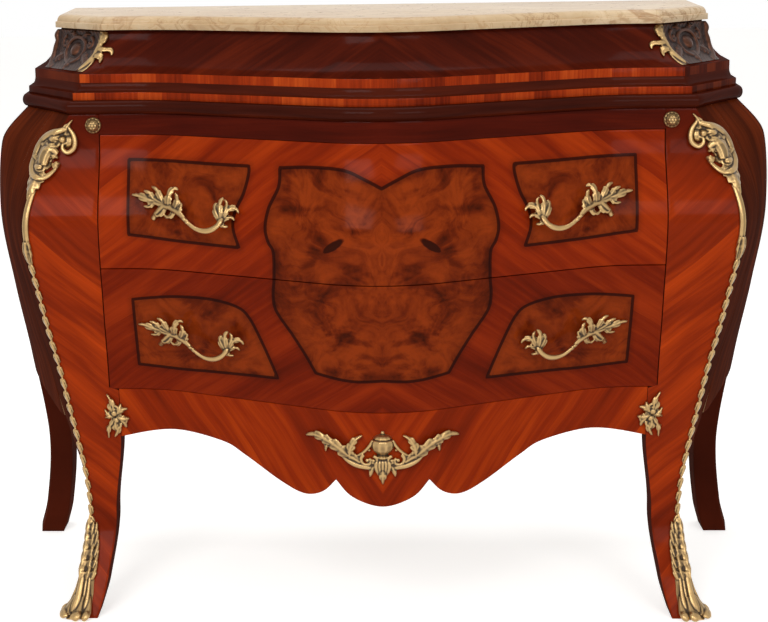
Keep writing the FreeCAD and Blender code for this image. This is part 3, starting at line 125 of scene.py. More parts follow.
@dataclass(frozen=True)
class CaseForm:
    """The chest's shape, in millimetres: levels, profiles and plan curves.

    Attributes:
        back: depth of the back face behind the middle of the case.
        opening: half width of the drawer opening.
        bow_end: where the bowed front line ends and the straight stile begins.
        bow_depth: how far the stiles lie behind the middle of the front.
        bow_radius: radius of the bow's arcs.
        knee, split, belly: heights of the apron's top, the gap between the drawers and the fullest line.
        opening_top, case_top: heights of the drawer opening and of the case below its mouldings.
        torus_top, cove_bottom, cove_top: heights that part the mouldings.
        frieze_bottom, frieze_top, marble_top: heights of the hollow frieze and of the slab.
        post_back, rear_post_front: depths of the posts' hidden faces.
        stations: heights at which the profiles are set out.
        setbacks: how far the front lies behind the belly at each station.
        stiles: width of the front stile at each station.
        splay: how far the front post's side follows the case side at each station.
        reaches: reach of the rear corner beyond the opening at each station.
        turn_width, turn_softness: share of the side's reach at its turn, and how soft the turn is, at
            the belly and what the top adds.
        turn_depth: share of the side's depth at its turn.
        cant_front, cant_side: front and side end of the top's canted corner.
        front_drift, side_drift: how those ends move for each millimetre of offset.
        top_rear: half width of the top at its rear.
        top_setback: how far the top's front lies behind the belly.
    """

    back: float = 286.5
    opening: float = 404.0
    bow_end: float = 367.0
    bow_depth: float = 141.0
    bow_radius: float = 180.0
    knee: float = 337.0
    split: float = 527.0
    belly: float = 588.0
    opening_top: float = 716.0
    case_top: float = 745.5
    torus_top: float = 764.5
    cove_bottom: float = 775.5
    cove_top: float = 788.5
    frieze_bottom: float = 801.0
    frieze_top: float = 860.0
    marble_top: float = 880.0
    post_back: float = -48.0
    rear_post_front: float = 236.5
    stations: tuple[float, ...] = (0, 42, 140, 337, 462.5, 588, 690.375, 745.5)
    setbacks: tuple[float, ...] = (-10, 12, 62, 52, 23, 0, 42, 48)
    stiles: tuple[float, ...] = (62, 49, 36, 65, 87, 103, 73, 42)
    splay: tuple[float, ...] = (0, 0.1, 0.3, 1, 1, 1, 1, 1)
    reaches: tuple[float, ...] = (184, 173, 164, 190, 210, 224, 201, 144)
    turn_width: Point = (0.62, 0.226)
    turn_softness: Point = (0.25, -0.21)
    turn_depth: float = 0.36
    cant_front: Point = (405, -32.5)
    cant_side: Point = (489, 66.5)
    front_drift: Point = (0.6, -1)
    side_drift: Point = (0.67, -0.397)
    top_rear: float = 504.0
    top_setback: float = 113.0

    @property
    def stile_front(self) -> float:
        """Depth of the flat stiles at the belly."""
        return self.bow_depth - self.back

    def along(self, values: Sequence[float], level: float) -> float:
        """Smooth curve through one value per station, upright where it is fullest or narrowest.

        Args:
            values: one value per station.
            level: height above the floor.

        Returns:
            The value at that height.
        """
        last = len(self.stations) - 1
        level = min(max(level, self.stations[0]), self.stations[last])
        index = max(k for k in range(last) if self.stations[k] <= level)
        span = self.stations[index + 1] - self.stations[index]
        share = (level - self.stations[index]) / span
        slopes = [self._slope(values, index), self._slope(values, index + 1)]
        start = (1 + 2 * share) * (1 - share) ** 2 * values[index]
        start += share * (1 - share) ** 2 * span * slopes[0]
        end = share * share * (3 - 2 * share) * values[index + 1]
        return start + end + share * share * (share - 1) * span * slopes[1]

    def _slope(self, values: Sequence[float], index: int) -> float:
        """Slope of the curve at one station, none where the values turn."""
        low, high = max(index - 1, 0), min(index + 1, len(values) - 1)
        before, after = values[index] - values[low], values[high] - values[index]
        turns = low < index < high and before * after <= 0
        return 0.0 if turns else (values[high] - values[low]) / (self.stations[high] - self.stations[low])

    @cached_property
    def bow_angle(self) -> float:
        """Angle of the straight stretch that joins the bow's arcs, found by going round."""
        angle, rounds = 0.4, 40
        for _ in range(rounds):
            run = self.bow_end - 2 * self.bow_radius * math.tan(angle / 2)
            angle = math.atan2(self.bow_depth, run)
        return angle

    def bow(self, x: float) -> float:
        """How far the front line lies behind its middle, at a distance x from the middle.

        Args:
            x: distance from the middle.

        Returns:
            The depth behind the middle of the front.
        """
        x, angle = abs(x), self.bow_angle
        radius, reach = self.bow_radius, self.bow_radius * math.sin(angle)
        if x >= self.bow_end:
            return self.bow_depth
        if x <= reach:
            return radius - math.sqrt(radius ** 2 - x ** 2)
        if x >= self.bow_end - reach:
            return self.bow_depth - radius + math.sqrt(radius ** 2 - (self.bow_end - x) ** 2)
        return radius * (1 - math.cos(angle)) + (x - reach) * math.tan(angle)

    def front(self, x: float, level: float) -> float:
        """Depth of the front surface at a width and a height."""
        return self.bow(x) - self.back + self.along(self.setbacks, level)

    def arris(self, level: float) -> Vector:
        """The front corner's line, in millimetres, on the right side."""
        return Vector((self.opening + self.along(self.stiles, level),
                       self.stile_front + self.along(self.setbacks, level), level))

    def side(self, y: float, level: float) -> float:
        """Half width of the case at a depth behind the arris: a cant at the top, a curve at the belly.

        Args:
            y: depth.
            level: height above the floor.

        Returns:
            The distance from the middle.
        """
        corner = self.arris(level)
        rise = eased((level - self.belly) / (self.case_top - self.belly))
        turn_x, softness = (low + added * rise for low, added in (self.turn_width, self.turn_softness))

        def rounded(share: float) -> float:
            """Two straight stretches with a soft corner between them."""
            steep = share * turn_x / self.turn_depth
            flat = turn_x + (1 - turn_x) * (share - self.turn_depth) / (1 - self.turn_depth)
            return (steep + flat - math.hypot(steep - flat, softness)) / 2

        share = (y - corner.y) / (self.back - corner.y)
        ends = (1 - share) * rounded(0) + share * (rounded(1) - 1)
        reach = self.opening + self.along(self.reaches, level) - corner.x
        return corner.x + reach * (rounded(share) - ends)

    def top_corner(self, outset: float) -> Point:
        """Front corner of the top's outline, moved out by an offset."""
        return tuple(at + drift * outset for at, drift in zip(self.cant_front, self.front_drift))

    def side_corner(self, outset: float) -> Point:
        """Corner where the top's canted corner meets its side."""
        return tuple(at + drift * outset for at, drift in zip(self.cant_side, self.side_drift))

    def rear_corner(self, outset: float) -> Point:
        """Rear corner of the top's outline."""
        return (self.top_rear + self.side_drift[0] * outset, self.back)

    def top_front(self, x: float, outset: float) -> float:
        """Depth of the top's bowed front edge, moved out by an offset."""
        return self.bow(x) - self.back + self.top_setback - outset

    def board(self, x: float, level: float, thickness: float, through: float) -> Vector:
        """A place in a board whose face is the front and whose back is plainly bowed.

        Args:
            x: distance from the middle.
            level: height above the floor.
            thickness: the back's distance behind the belly.
            through: share of the way from face to back.

        Returns:
            The place, in metres.
        """
        rear = self.bow(x) - self.back + thickness
        return place(x, self.front(x, level) * (1 - through) + rear * through, level)


CASE = CaseForm()
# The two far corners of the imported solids, in metres, which main fills in.
SOLID_BOX: list[list[float]] = []


# ---- shader values

class Value:
    """One number of a shader, with arithmetic that adds Math nodes."""

    def __init__(self, recipe: "Mixing", socket: NodeSocket) -> None:
        """Wrap a socket of a recipe's tree."""
        self.recipe = recipe
        self.socket = socket

    def math(self, operation: str, *others: "Value | float") -> "Value":
        """Add a Math node with this value first.

        Args:
            operation: the Math node's operation.
            others: the second and third operands.

        Returns:
            The node's result.
        """
        return self.recipe.value("ShaderNodeMath", {"operation": operation},
                                 dict(enumerate((self, *others))))

    def __add__(self, other: "Value | float") -> "Value":
        """Sum."""
        return self.math("ADD", other)

    __radd__ = __add__

    def __sub__(self, other: "Value | float") -> "Value":
        """Difference."""
        return self.math("SUBTRACT", other)

    def __rsub__(self, other: float) -> "Value":
        """Difference from a number."""
        return self * -1 + other

    def __mul__(self, other: "Value | float") -> "Value":
        """Product."""
        return self.math("MULTIPLY", other)

    __rmul__ = __mul__

    def __truediv__(self, other: "Value | float") -> "Value":
        """Quotient."""
        return self.math("DIVIDE", other)

    def __abs__(self) -> "Value":
        """Size without its sign."""
        return self.math("ABSOLUTE")

    def limit(self) -> "Value":
        """Keep the value between nought and one."""
        return self.math("MAXIMUM", 0.0).math("MINIMUM", 1.0)

    def step(self, start: float, end: float) -> "Value":
        """Smooth step: 0 at start and 1 at end, which may be the lower of the two."""
        share = ((self - start) / (end - start)).limit()
        return share * share * (3 - 2 * share)


class Mixing:
    """A node tree, with the one method that makes its nodes."""

    def __init__(self, tree: bpy.types.NodeTree) -> None:
        """Start with an empty tree."""
        self.tree = tree
        self.tree.nodes.clear()

    def node(self, kind: str, settings: dict[str, Any] | None = None,
             inputs: dict[str | int, Any] | None = None) -> bpy.types.Node:
        """Make one node.

        Args:
            kind: the node's type.
            settings: its properties, with a ramp's stops under the key stops.
            inputs: values or links of its sockets, by name or number.

        Returns:
            The node.
        """
        node = self.tree.nodes.new(kind)
        for key, setting in (settings or {}).items():
            if key == "stops":
                self._set_stops(node.color_ramp, setting)
            else:
                setattr(node, key, setting)
        for key, given in (inputs or {}).items():
            source = given.socket if isinstance(given, Value) else given
            if isinstance(source, NodeSocket):
                self.tree.links.new(source, node.inputs[key])
            else:
                node.inputs[key].default_value = source
        return node

    @staticmethod
    def _set_stops(ramp: bpy.types.ColorRamp, stops: Sequence[tuple[float, Sequence[float]]]) -> None:
        """Give a ramp its stops."""
        while len(ramp.elements) < len(stops):
            ramp.elements.new(1.0)
        for element, (position, colour) in zip(ramp.elements, stops):
            element.position = position
            element.color = colour

    def value(self, kind: str, settings: dict[str, Any] | None = None,
              inputs: dict[str | int, Any] | None = None, output: int | str = 0) -> Value:
        """Make one node and wrap one of its outputs."""
        return Value(self, self.node(kind, settings, inputs).outputs[output])

    def seen(self) -> Value:
        """One for the rays that show the background itself, nought for those that light the object."""
        path = self.node("ShaderNodeLightPath").outputs
        rays = [Value(self, path[f"Is {ray} Ray"]) for ray in ("Camera", "Glossy", "Transmission")]
        return rays[0].math("MAXIMUM", rays[1]).math("MAXIMUM", rays[2])


class Recipe(Mixing):
    """One material in the making."""

    def __init__(self, name: str) -> None:
        """Start a material that holds only its output and its shader."""
        self.material = bpy.data.materials.new(name)
        self.material.use_nodes = True
        super().__init__(self.material.node_tree)
        self.shader = self.node("ShaderNodeBsdfPrincipled")
        self.node("ShaderNodeOutputMaterial", inputs={"Surface": self.shader.outputs[0]})

    def axes(self) -> list[Value]:
        """Width, depth and height of the shaded point, in metres."""
        where = self.node("ShaderNodeTexCoord").outputs["Object"]
        parts = self.node("ShaderNodeSeparateXYZ", inputs={0: where})
        return [Value(self, socket) for socket in parts.outputs]

    def point(self, x: Value | float, y: Value | float, z: Value | float) -> NodeSocket:
        """Join three values to a vector."""
        return self.node("ShaderNodeCombineXYZ", inputs={0: x, 1: y, 2: z}).outputs[0]

    def noise(self, where: NodeSocket, scale: float, detail: float = 2.0,
              roughness: float = 0.5, distortion: float = 0.0) -> Value:
        """Cloudy noise from 0 to 1."""
        return self.value("ShaderNodeTexNoise", None,
                          {"Vector": where, "Scale": scale, "Detail": detail,
                           "Roughness": roughness, "Distortion": distortion})

    def chance(self, seed: Value) -> Value:
        """A random number from 0 to 1 for each seed."""
        return self.value("ShaderNodeTexWhiteNoise", {"noise_dimensions": "1D"}, {"W": seed})

    def mark(self, name: str) -> Value:
        """The number that the mesh carries under a name."""
        return self.value("ShaderNodeAttribute", {"attribute_name": name}, output="Fac")

    def ramp(self, share: Value, places: Sequence[float], tones: Sequence[Colour]) -> Value:
        """Colour along a ramp with a tone at each place."""
        stops = [(at, tint(*tone)) for at, tone in zip(places, tones)]
        return self.value("ShaderNodeValToRGB", {"stops": stops}, {0: share})

    def mix(self, share: Value | float, start: Value | Colour, end: Value | Colour) -> Value:
        """Mix two colours."""
        ends = [given if isinstance(given, Value) else tint(*given) for given in (start, end)]
        return self.value("ShaderNodeMix", {"data_type": "RGBA"}, {0: share, 6: ends[0], 7: ends[1]}, 2)

    def bump(self, height: Value, distance: float, strength: float = 1.0) -> None:
        """Raise the surface by a height from 0 to 1, over a distance in metres."""
        node = self.node("ShaderNodeBump", inputs={"Height": height, "Distance": distance,
                                                   "Strength": strength})
        self.tree.links.new(node.outputs[0], self.shader.inputs["Normal"])

    def finish(self, inputs: dict[str, Any]) -> Material:
        """Set the shader's own sockets and hand over the material."""
        for key, given in inputs.items():
            if isinstance(given, Value):
                self.tree.links.new(given.socket, self.shader.inputs[key])
            else:
                self.shader.inputs[key].default_value = given
        return self.material


# ---- finishes

class Lay(Enum):
    """The two axes in which a veneer's figure is laid out, and the one across them."""

    FRONT = (0, 2, 1)
    SIDE = (1, 2, 0)


@dataclass(frozen=True)
class Veneer:
    """Polished straight-grained veneer laid in leaves.

    Attributes:
        name: the material's name.
        lay: the plane of its figure.
        angle: the grain's slope on the right half, in degrees from level.
        tones: its dark, middle and light colours.
        leaf: width of one leaf across the grain, in metres.
        mirrored: whether the two halves match like an open book.
        fade: heights between which the veneer darkens upwards, or None.
        coat: strength of the lacquer's shine.
    """

    name: str
    lay: Lay = Lay.FRONT
    angle: float = -38.0
    tones: tuple[Colour, ...] = ((84, 20, 6), (130, 36, 8), (170, 58, 13))
    leaf: float = 0.06
    mirrored: bool = True
    # fade: heights between which the veneer is darkened upwards, as painted shade towards the top, or None.
    fade: Point | None = None
    coat: float = 0.055

    def colour(self, recipe: Recipe, axes: Sequence[Value]) -> Value:
        """Grain colour at the shaded point.

        Args:
            recipe: the material in the making.
            axes: width, depth and height of the point.

        Returns:
            The colour.
        """
        first, second, third = (axes[i] for i in self.lay.value)
        if self.mirrored:
            first = abs(first)
        turn = math.radians(self.angle)
        wander = recipe.noise(recipe.point(first, second, third), 5.0) * 0.022
        along = first * math.cos(turn) + second * math.sin(turn)
        across = second * math.cos(turn) - first * math.sin(turn) + wander
        leaf = (across / self.leaf).math("FLOOR")
        tone = recipe.chance(leaf + 7.3)
        slow = recipe.point(along * 0.9, across * 9.0, leaf * 3.1)
        fine = recipe.point(along * 3.0, across * 70.0, third)
        hair = recipe.point(along * 14.0, across * 460.0, third)
        streaks = recipe.noise(slow, 2.3, 3.0, 0.62, 0.6)
        lines = recipe.noise(fine, 2.2, 3.0, 0.6, 0.25)
        pores = recipe.noise(hair, 1.6, 2.0, 0.6)
        cloud = recipe.noise(recipe.point(first, second, third), 6.5, 2.0)
        share = streaks * 1.15 + lines * 0.42 + tone * 0.16 + cloud * 0.34
        share = (share - 0.55 + pores * 0.16 - 0.03).limit()
        # Painted shade: the grain is darkened towards the top, between the two heights.
        if self.fade is not None:
            share = share * (1 - axes[2].step(*self.fade) * 0.75)
        return recipe.ramp(share, (0.12, 0.50, 0.86), self.tones)

    def build(self) -> Material:
        """Make the material."""
        recipe = Recipe(self.name)
        axes = recipe.axes()
        return polish(recipe, self.colour(recipe, axes), axes, self.coat)


def polish(recipe: Recipe, colour: Value, axes: Sequence[Value], coat: float) -> Material:
    """Lay a polished lacquer over a wood colour.

    Args:
        recipe: the material in the making.
        colour: the wood's colour.
        axes: width, depth and height of the point.
        coat: strength of the lacquer's shine.

    Returns:
        The material.
    """
    where = recipe.point(*axes)
    ripple = recipe.noise(where, 26.0, 2.0)
    recipe.bump(ripple, 0.0006, 0.35)
    return recipe.finish({"Base Color": colour, "Roughness": ripple * 0.12 + 0.34,
                          "Specular IOR Level": 0.0, "Coat Weight": coat, "Coat Roughness": 0.13})


@dataclass(frozen=True)
class Burl:
    """Walnut burl: swirling figure with dark clouds and small eyes, matched like an open book.

    Attributes:
        tones: its dark, middle and light colours.
        knot_at: distance from the middle and height of the two dark knots, in metres.
        knot_turn: slope of the right one, in radians.
        knot_half: half its length and width.
    """

    tones: tuple[Colour, ...] = ((50, 15, 5), (100, 32, 9), (138, 52, 15))
    knot_at: Point = (0.065, 0.582)
    knot_turn: float = 0.62
    knot_half: Point = (0.017, 0.0055)

    def colour(self, recipe: Recipe, axes: Sequence[Value]) -> Value:
        """Burl colour at the shaded point."""
        first, second = abs(axes[0]), axes[2]
        where = recipe.point(first, 0.3, second)
        drift = recipe.noise(where, 7.0, 2.0, 0.5, 1.2)
        swirl = recipe.noise(recipe.point(first + drift * 0.09, drift * 0.05, second - drift * 0.07),
                             17.0, 5.0, 0.62, 2.4)
        cloud = recipe.noise(recipe.point(first * 0.8, 0.9, second), 11.0, 3.0, 0.55, 1.5)
        fleck = recipe.noise(recipe.point(first, 0.1, second), 230.0, 3.0, 0.7)
        eyes = recipe.value("ShaderNodeTexVoronoi", {"feature": "SMOOTH_F1"},
                            {"Vector": recipe.point(first + drift * 0.03, 0.2, second), "Scale": 48.0})
        share = swirl * 1.3 - cloud.step(0.46, 0.66) * 0.42 + fleck * 0.22 - 0.10
        share = (share + eyes * 0.16 - self.knots(first, second) * 0.8).limit()
        return recipe.ramp(share, (0.10, 0.45, 0.85), self.tones)

    def knots(self, first: Value, second: Value) -> Value:
        """Two dark spindle knots, one in each leaf of the book match."""
        cosine, sine = math.cos(self.knot_turn), math.sin(self.knot_turn)
        left, up = first - self.knot_at[0], second - self.knot_at[1]
        along = (left * cosine + up * -sine) / self.knot_half[0]
        across = (left * sine + up * cosine) / self.knot_half[1]
        return (along * along + across * across).step(1.3, 0.4)


@dataclass(frozen=True)
class InlaidFront:
    """A drawer front: diagonal veneer, burl panels and the dark stringing that outlines them.

    Attributes:
        name: the material's name.
        veneer: the veneer round the panels.
        string_half: half the width of the dark stringing, in metres.
        joint: half the softness of a joint between two woods.
        shadow_reach: how far the painted shade beside the stringing reaches on either side.
        stringing_shade, string: colours of the painted shade and of the stringing.
    """

    name: str
    veneer: Veneer
    string_half: float = 0.0021
    joint: float = 0.0003
    shadow_reach: float = 0.012
    stringing_shade: Colour = (48, 14, 6)
    string: Colour = (36, 10, 5)

    def build(self) -> Material:
        """Make the material, which reads the distance to the nearest outline from the mesh."""
        recipe = Recipe(self.name)
        axes = recipe.axes()
        edge = recipe.mark("inlay")
        inside = edge.step(self.joint, -self.joint)
        line = abs(edge).step(self.string_half + 0.0007, self.string_half - 0.0004)
        # Painted shade: the veneer darkens within shadow_reach of every outline of the inlay.
        shadow = abs(edge).step(self.shadow_reach, 0.0) * 0.30
        ground = self.veneer.colour(recipe, axes)
        colour = recipe.mix(inside, ground, Burl().colour(recipe, axes))
        colour = recipe.mix(shadow, colour, self.stringing_shade)
        colour = recipe.mix(line * 0.86, colour, self.string)
        return polish(recipe, colour, axes, self.veneer.coat)


@dataclass(frozen=True)
class CrossBand:
    """Narrow veneer band laid in short pieces, with its grain across the band."""

    name: str
    tones: tuple[Colour, ...] = ((92, 24, 8), (150, 48, 14), (206, 88, 30))
    piece: float = 0.031
    coat: float = 0.06

    def build(self) -> Material:
        """Make the material."""
        recipe = Recipe(self.name)
        x, y, z = recipe.axes()
        run = x + y * 0.6
        leaf = (run / self.piece).math("FLOOR")
        tone = recipe.chance(leaf)
        grain = recipe.noise(recipe.point(run * 130.0, z * 6.0, leaf), 2.0, 3.0, 0.65, 0.2)
        broad = recipe.noise(recipe.point(run * 24.0, z * 3.0, leaf), 1.5, 2.0)
        share = (grain * 0.7 + broad * 0.5 + tone * 0.45 - 0.40).limit()
        colour = recipe.ramp(share, (0.08, 0.45, 0.9), self.tones)
        return polish(recipe, colour, (x, y, z), self.coat)


@dataclass(frozen=True)
class Marble:
    """Polished cream marble with soft clouds and fine brown veins."""

    name: str = "cream_marble"
    tones: tuple[Colour, ...] = ((180, 146, 106), (204, 176, 138), (224, 201, 168))
    vein: Colour = (150, 104, 62)
    hair: Colour = (176, 132, 84)

    def build(self) -> Material:
        """Make the material."""
        recipe = Recipe(self.name)
        x, y, z = recipe.axes()
        where = recipe.point(x, y, z)
        cloud = recipe.noise(where, 3.2, 4.0, 0.6, 0.8)
        grit = recipe.noise(where, 55.0, 4.0, 0.7)
        bend = recipe.noise(where, 4.0, 3.0, 0.55, 0.4)
        drawn = recipe.point(x * 0.8 + bend * 0.5, y * 1.5 - bend * 0.4, z)
        slant = recipe.noise(drawn, 5.5, 5.0, 0.6, 1.2)
        vein = abs(slant - 0.5).step(0.022, 0.0)
        hair = abs(recipe.noise(where, 13.0, 4.0, 0.6, 2.0) - 0.5).step(0.012, 0.0)
        share = (cloud * 0.8 + grit * 0.35 - 0.1).limit()
        colour = recipe.ramp(share, (0.22, 0.5, 0.78), self.tones)
        colour = recipe.mix(vein * (cloud * 0.9), colour, self.vein)
        colour = recipe.mix(hair * 0.45, colour, self.hair)
        recipe.bump(grit, 0.0004, 0.15)
        return recipe.finish({"Base Color": colour, "Roughness": grit * 0.15 + 0.22,
                              "Subsurface Weight": 0.06, "Subsurface Radius": (0.01, 0.007, 0.004),
                              "Subsurface Scale": 0.5, "Specular IOR Level": 0.12,
                              "Coat Weight": 0.06, "Coat Roughness": 0.06})


@dataclass(frozen=True)
class Brass:
    """Cast and chased brass, gilt on the high points and nearly black in the hollows.

    Attributes:
        name: the material's name.
        high, low: colours of the high points and of the hollows.
        wear: how far the high points are rubbed bright.
    """

    name: str
    high: Colour = (180, 148, 100)
    low: Colour = (54, 38, 21)
    wear: float = 1.0

    def build(self) -> Material:
        """Make the material, which reads how proud each point stands from the mesh."""
        recipe = Recipe(self.name)
        where = recipe.point(*recipe.axes())
        relief = recipe.mark("relief")
        mottle = recipe.noise(where, 60.0, 4.0, 0.65)
        chased = recipe.noise(where, 420.0, 3.0, 0.6)
        proud = (relief * self.wear + (mottle - 0.5) * 0.5).limit()
        colour = recipe.mix(proud, self.low, self.high)
        recipe.bump(chased * 0.6 + mottle * 0.4, 0.0009, 0.45)
        return recipe.finish({"Base Color": colour, "Metallic": proud * 0.55 + 0.40,
                              "Roughness": 0.52 - proud * 0.20, "Specular IOR Level": 0.4})


@dataclass(frozen=True)
class Board:
    """Plain planed board with its grain along one axis.

    Attributes:
        name: the material's name.
        run: number of the axis along the grain.
        light, dark: its colours.
        rough: its least roughness.
    """

    name: str
    run: int
    light: Colour = (196, 152, 98)
    dark: Colour = (146, 100, 58)
    rough: float = 0.55

    def build(self) -> Material:
        """Make the material."""
        recipe = Recipe(self.name)
        axes = recipe.axes()
        drawn = [axis * (1.2 if i == self.run else 26.0) for i, axis in enumerate(axes)]
        rings = recipe.noise(recipe.point(*drawn), 1.6, 4.0, 0.6, 1.4)
        fine = recipe.noise(recipe.point(*[part * 9.0 for part in drawn]), 1.8, 2.0)
        share = (rings * 1.3 + fine * 0.4 - 0.35).limit()
        colour = recipe.mix(share, self.dark, self.light)
        recipe.bump(fine, 0.0005, 0.3)
        return recipe.finish({"Base Color": colour, "Roughness": fine * 0.1 + self.rough})


@dataclass(frozen=True)
class Steel:
    """Bright steel of the handle screws."""

    name: str = "screw_steel"
    dark: Colour = (120, 118, 112)
    light: Colour = (186, 184, 178)

    def build(self) -> Material:
        """Make the material."""
        recipe = Recipe(self.name)
        scratches = recipe.noise(recipe.point(*recipe.axes()), 300.0, 3.0)
        colour = recipe.mix(scratches, self.dark, self.light)
        return recipe.finish({"Base Color": colour, "Metallic": 0.95,
                              "Roughness": scratches * 0.2 + 0.3})


class Finishes:
    """All the chest's materials, each made once."""

    def __init__(self) -> None:
        """Make every material."""
        front = Veneer("drawer_veneer", angle=-36.0, leaf=0.085)
        # The lower drawer takes a darker copy of the upper veneer: painted shade, as its front turns down
        # away from the light.
        shaded_low_front = Veneer("shaded_lower_drawer_veneer", angle=-36.0, leaf=0.085,
                           tones=((68, 16, 5), (112, 29, 7), (150, 48, 12)))
        self.drawer = InlaidFront("inlaid_upper_front", front).build()
        self.low_drawer = InlaidFront("inlaid_lower_front_shaded", shaded_low_front).build()
        # The stile veneer is darkened near the top of the case, a painted shade below the mouldings.
        self.stile = Veneer("stile_veneer", angle=42.0, leaf=0.11, fade=(0.60, 0.74),
                            tones=((82, 21, 7), (134, 40, 10), (184, 64, 14))).build()
        self.apron = Veneer("apron_veneer", angle=56.0, leaf=0.075,
                            tones=((88, 22, 6), (138, 40, 8), (180, 64, 12))).build()
        self.rail = Veneer("rail_veneer", angle=-2.0, leaf=0.04,
                           tones=((48, 11, 5), (74, 18, 7), (96, 26, 10))).build()
        self.frieze = Veneer("frieze_veneer", angle=-31.0, leaf=0.05,
                             tones=((38, 10, 5), (70, 20, 9), (104, 34, 14))).build()
        # The canted and side lengths of the mouldings take darker copies of the front's veneer and banding:
        # painted shade where they turn away from the light.
        self.frieze_side = Veneer("frieze_side_veneer", Lay.SIDE, angle=31.0, leaf=0.05, mirrored=False,
                                  tones=((36, 11, 6), (64, 20, 9), (96, 32, 14))).build()
        self.torus = Veneer("torus_veneer", angle=0.0, leaf=0.02,
                            tones=((42, 12, 6), (64, 21, 10), (90, 32, 15))).build()
        self.side = Veneer("side_veneer", Lay.SIDE, angle=88.0, leaf=0.09, mirrored=False, coat=0.015,
                           tones=((42, 14, 7), (74, 28, 12), (112, 44, 18))).build()
        self.leg = Veneer("leg_veneer", Lay.SIDE, angle=90.0, leaf=0.05, mirrored=False, coat=0.015,
                          tones=((48, 16, 9), (76, 27, 14), (102, 38, 20))).build()
        self.band = CrossBand("cross_band").build()
        # Darker copy of the cross band for the cant and side, painted shade.
        self.side_band = CrossBand("side_cross_band", ((50, 15, 8), (84, 28, 12), (120, 48, 20))).build()
        self.marble = Marble().build()
        self.brass = Brass("cast_brass").build()
        # A darker copy of the brass: painted shade for the frieze cartouche, whose cant faces away from the
        # light.
        self.patina = Brass("dark_patina", high=(84, 50, 34), low=(36, 19, 14), wear=0.8).build()
        self.lining = [Board("lining_along_" + word, run).build() for run, word in enumerate("xy")]
        self.carcass = Board("carcass_board", 0, light=(150, 108, 66), dark=(104, 70, 40)).build()
        self.steel = Steel().build()


# ---- modelling by hand

class Bench:
    """The hand operations that every piece is made with."""

    @staticmethod
    def clear() -> None:
        """Leave edit mode and select nothing."""
        if bpy.context.object is not None and bpy.context.object.mode != "OBJECT":
            bpy.ops.object.mode_set(mode="OBJECT")
        bpy.ops.object.select_all(action="DESELECT")

    @staticmethod
    def pick(*pieces: Object) -> None:
        """Select some objects, the last of them active."""
        Bench.clear()
        for piece in pieces:
            piece.select_set(True)
        bpy.context.view_layer.objects.active = pieces[-1]

    @staticmethod
    def sheet(name: str, columns: int, rows: int) -> Object:
        """Add a flat grid one unit wide and high."""
        Bench.clear()
        bpy.ops.mesh.primitive_grid_add(x_subdivisions=columns, y_subdivisions=rows, size=1.0)
        piece = bpy.context.object
        piece.name = piece.data.name = name
        return piece

    @staticmethod
    def modify(piece: Object, kind: str, **settings: Any) -> None:
        """Add a modifier, set it and apply it."""
        Bench.pick(piece)
        modifier = piece.modifiers.new(kind.lower(), kind)
        for key, setting in settings.items():
            setattr(modifier, key, setting)
        bpy.ops.object.modifier_apply(modifier=modifier.name)

    @staticmethod
    def shape(piece: Object, form: Form) -> None:
        """Move every vertex of a unit piece to its place on a form.

        Args:
            piece: a piece whose vertices lie within half a unit of its middle.
            form: maps shares across, up and through the piece to a place.
        """
        for vertex in piece.data.vertices:
            across, up, through = vertex.co
            vertex.co = form(across + 0.5, up + 0.5, -through)

    @staticmethod
    def weld(piece: Object, close: bool) -> None:
        """Merge doubled points, cap open ends where asked, and turn the faces outwards."""
        Bench.pick(piece)
        bpy.ops.object.mode_set(mode="EDIT")
        bpy.ops.mesh.select_all(action="SELECT")
        bpy.ops.mesh.remove_doubles(threshold=1e-6)
        if close:
            bpy.ops.mesh.fill_holes(sides=0)
        bpy.ops.mesh.normals_make_consistent(inside=False)
        bpy.ops.object.mode_set(mode="OBJECT")

    @staticmethod
    def ease(piece: Object, bevel: float, corner: float = 38.0) -> Object:
        """Ease the sharp edges and shade the rest smooth."""
        Bench.modify(piece, "BEVEL", width=bevel, segments=2, limit_method="ANGLE",
                     angle_limit=math.radians(corner), harden_normals=False)
        bpy.ops.object.shade_smooth_by_angle(angle=math.radians(corner))
        return piece

    @staticmethod
    def panel(name: str, columns: int, rows: int, form: Form) -> Object:
        """Lay a sheet with a front and a back out on a form."""
        piece = Bench.sheet(name, columns, rows)
        Bench.modify(piece, "SOLIDIFY", thickness=1.0, offset=-1.0)
        Bench.shape(piece, form)
        return piece

    @staticmethod
    def slab(name: str, columns: int, rows: int, form: Form, bevel: float = 0.0006) -> Object:
        """Make a closed skin of even columns and rows, with a front and a back.

        Args:
            name: the piece's name.
            columns: faces across.
            rows: faces up.
            form: maps shares across, up and through to a place.
            bevel: width of the eased edges.

        Returns:
            The piece.
        """
        piece = Bench.panel(name, columns, rows, form)
        Bench.weld(piece, close=False)
        return Bench.ease(piece, bevel)

    @staticmethod
    def column(name: str, around: int, rows: int, form: Form, bevel: float = 0.0008,
               corner: float = 38.0) -> Object:
        """Make a closed post: a sheet rolled round its section, joined along its seam and capped.

        Args:
            name: the piece's name.
            around: faces round it.
            rows: faces up.
            form: maps shares around and up to a place.
            bevel: width of the eased edges.
            corner: least angle of an edge that is eased, in degrees.

        Returns:
            The piece.
        """
        piece = Bench.sheet(name, around, rows)
        Bench.shape(piece, form)
        Bench.weld(piece, close=True)
        return Bench.ease(piece, bevel, corner)

    @staticmethod
    def paint(piece: Object, *layers: Layer) -> None:
        """Give each face the first material whose test its middle and its normal pass.

        Args:
            piece: the piece.
            layers: materials, each with its test.
        """
        piece.data.materials.clear()
        for material, _ in layers:
            piece.data.materials.append(material)
        for face in piece.data.polygons:
            face.material_index = next(i for i, (_, test) in enumerate(layers)
                                       if test(face.center, face.normal))


def everywhere(middle: Vector, normal: Vector) -> bool:
    """Take every face."""
    return True


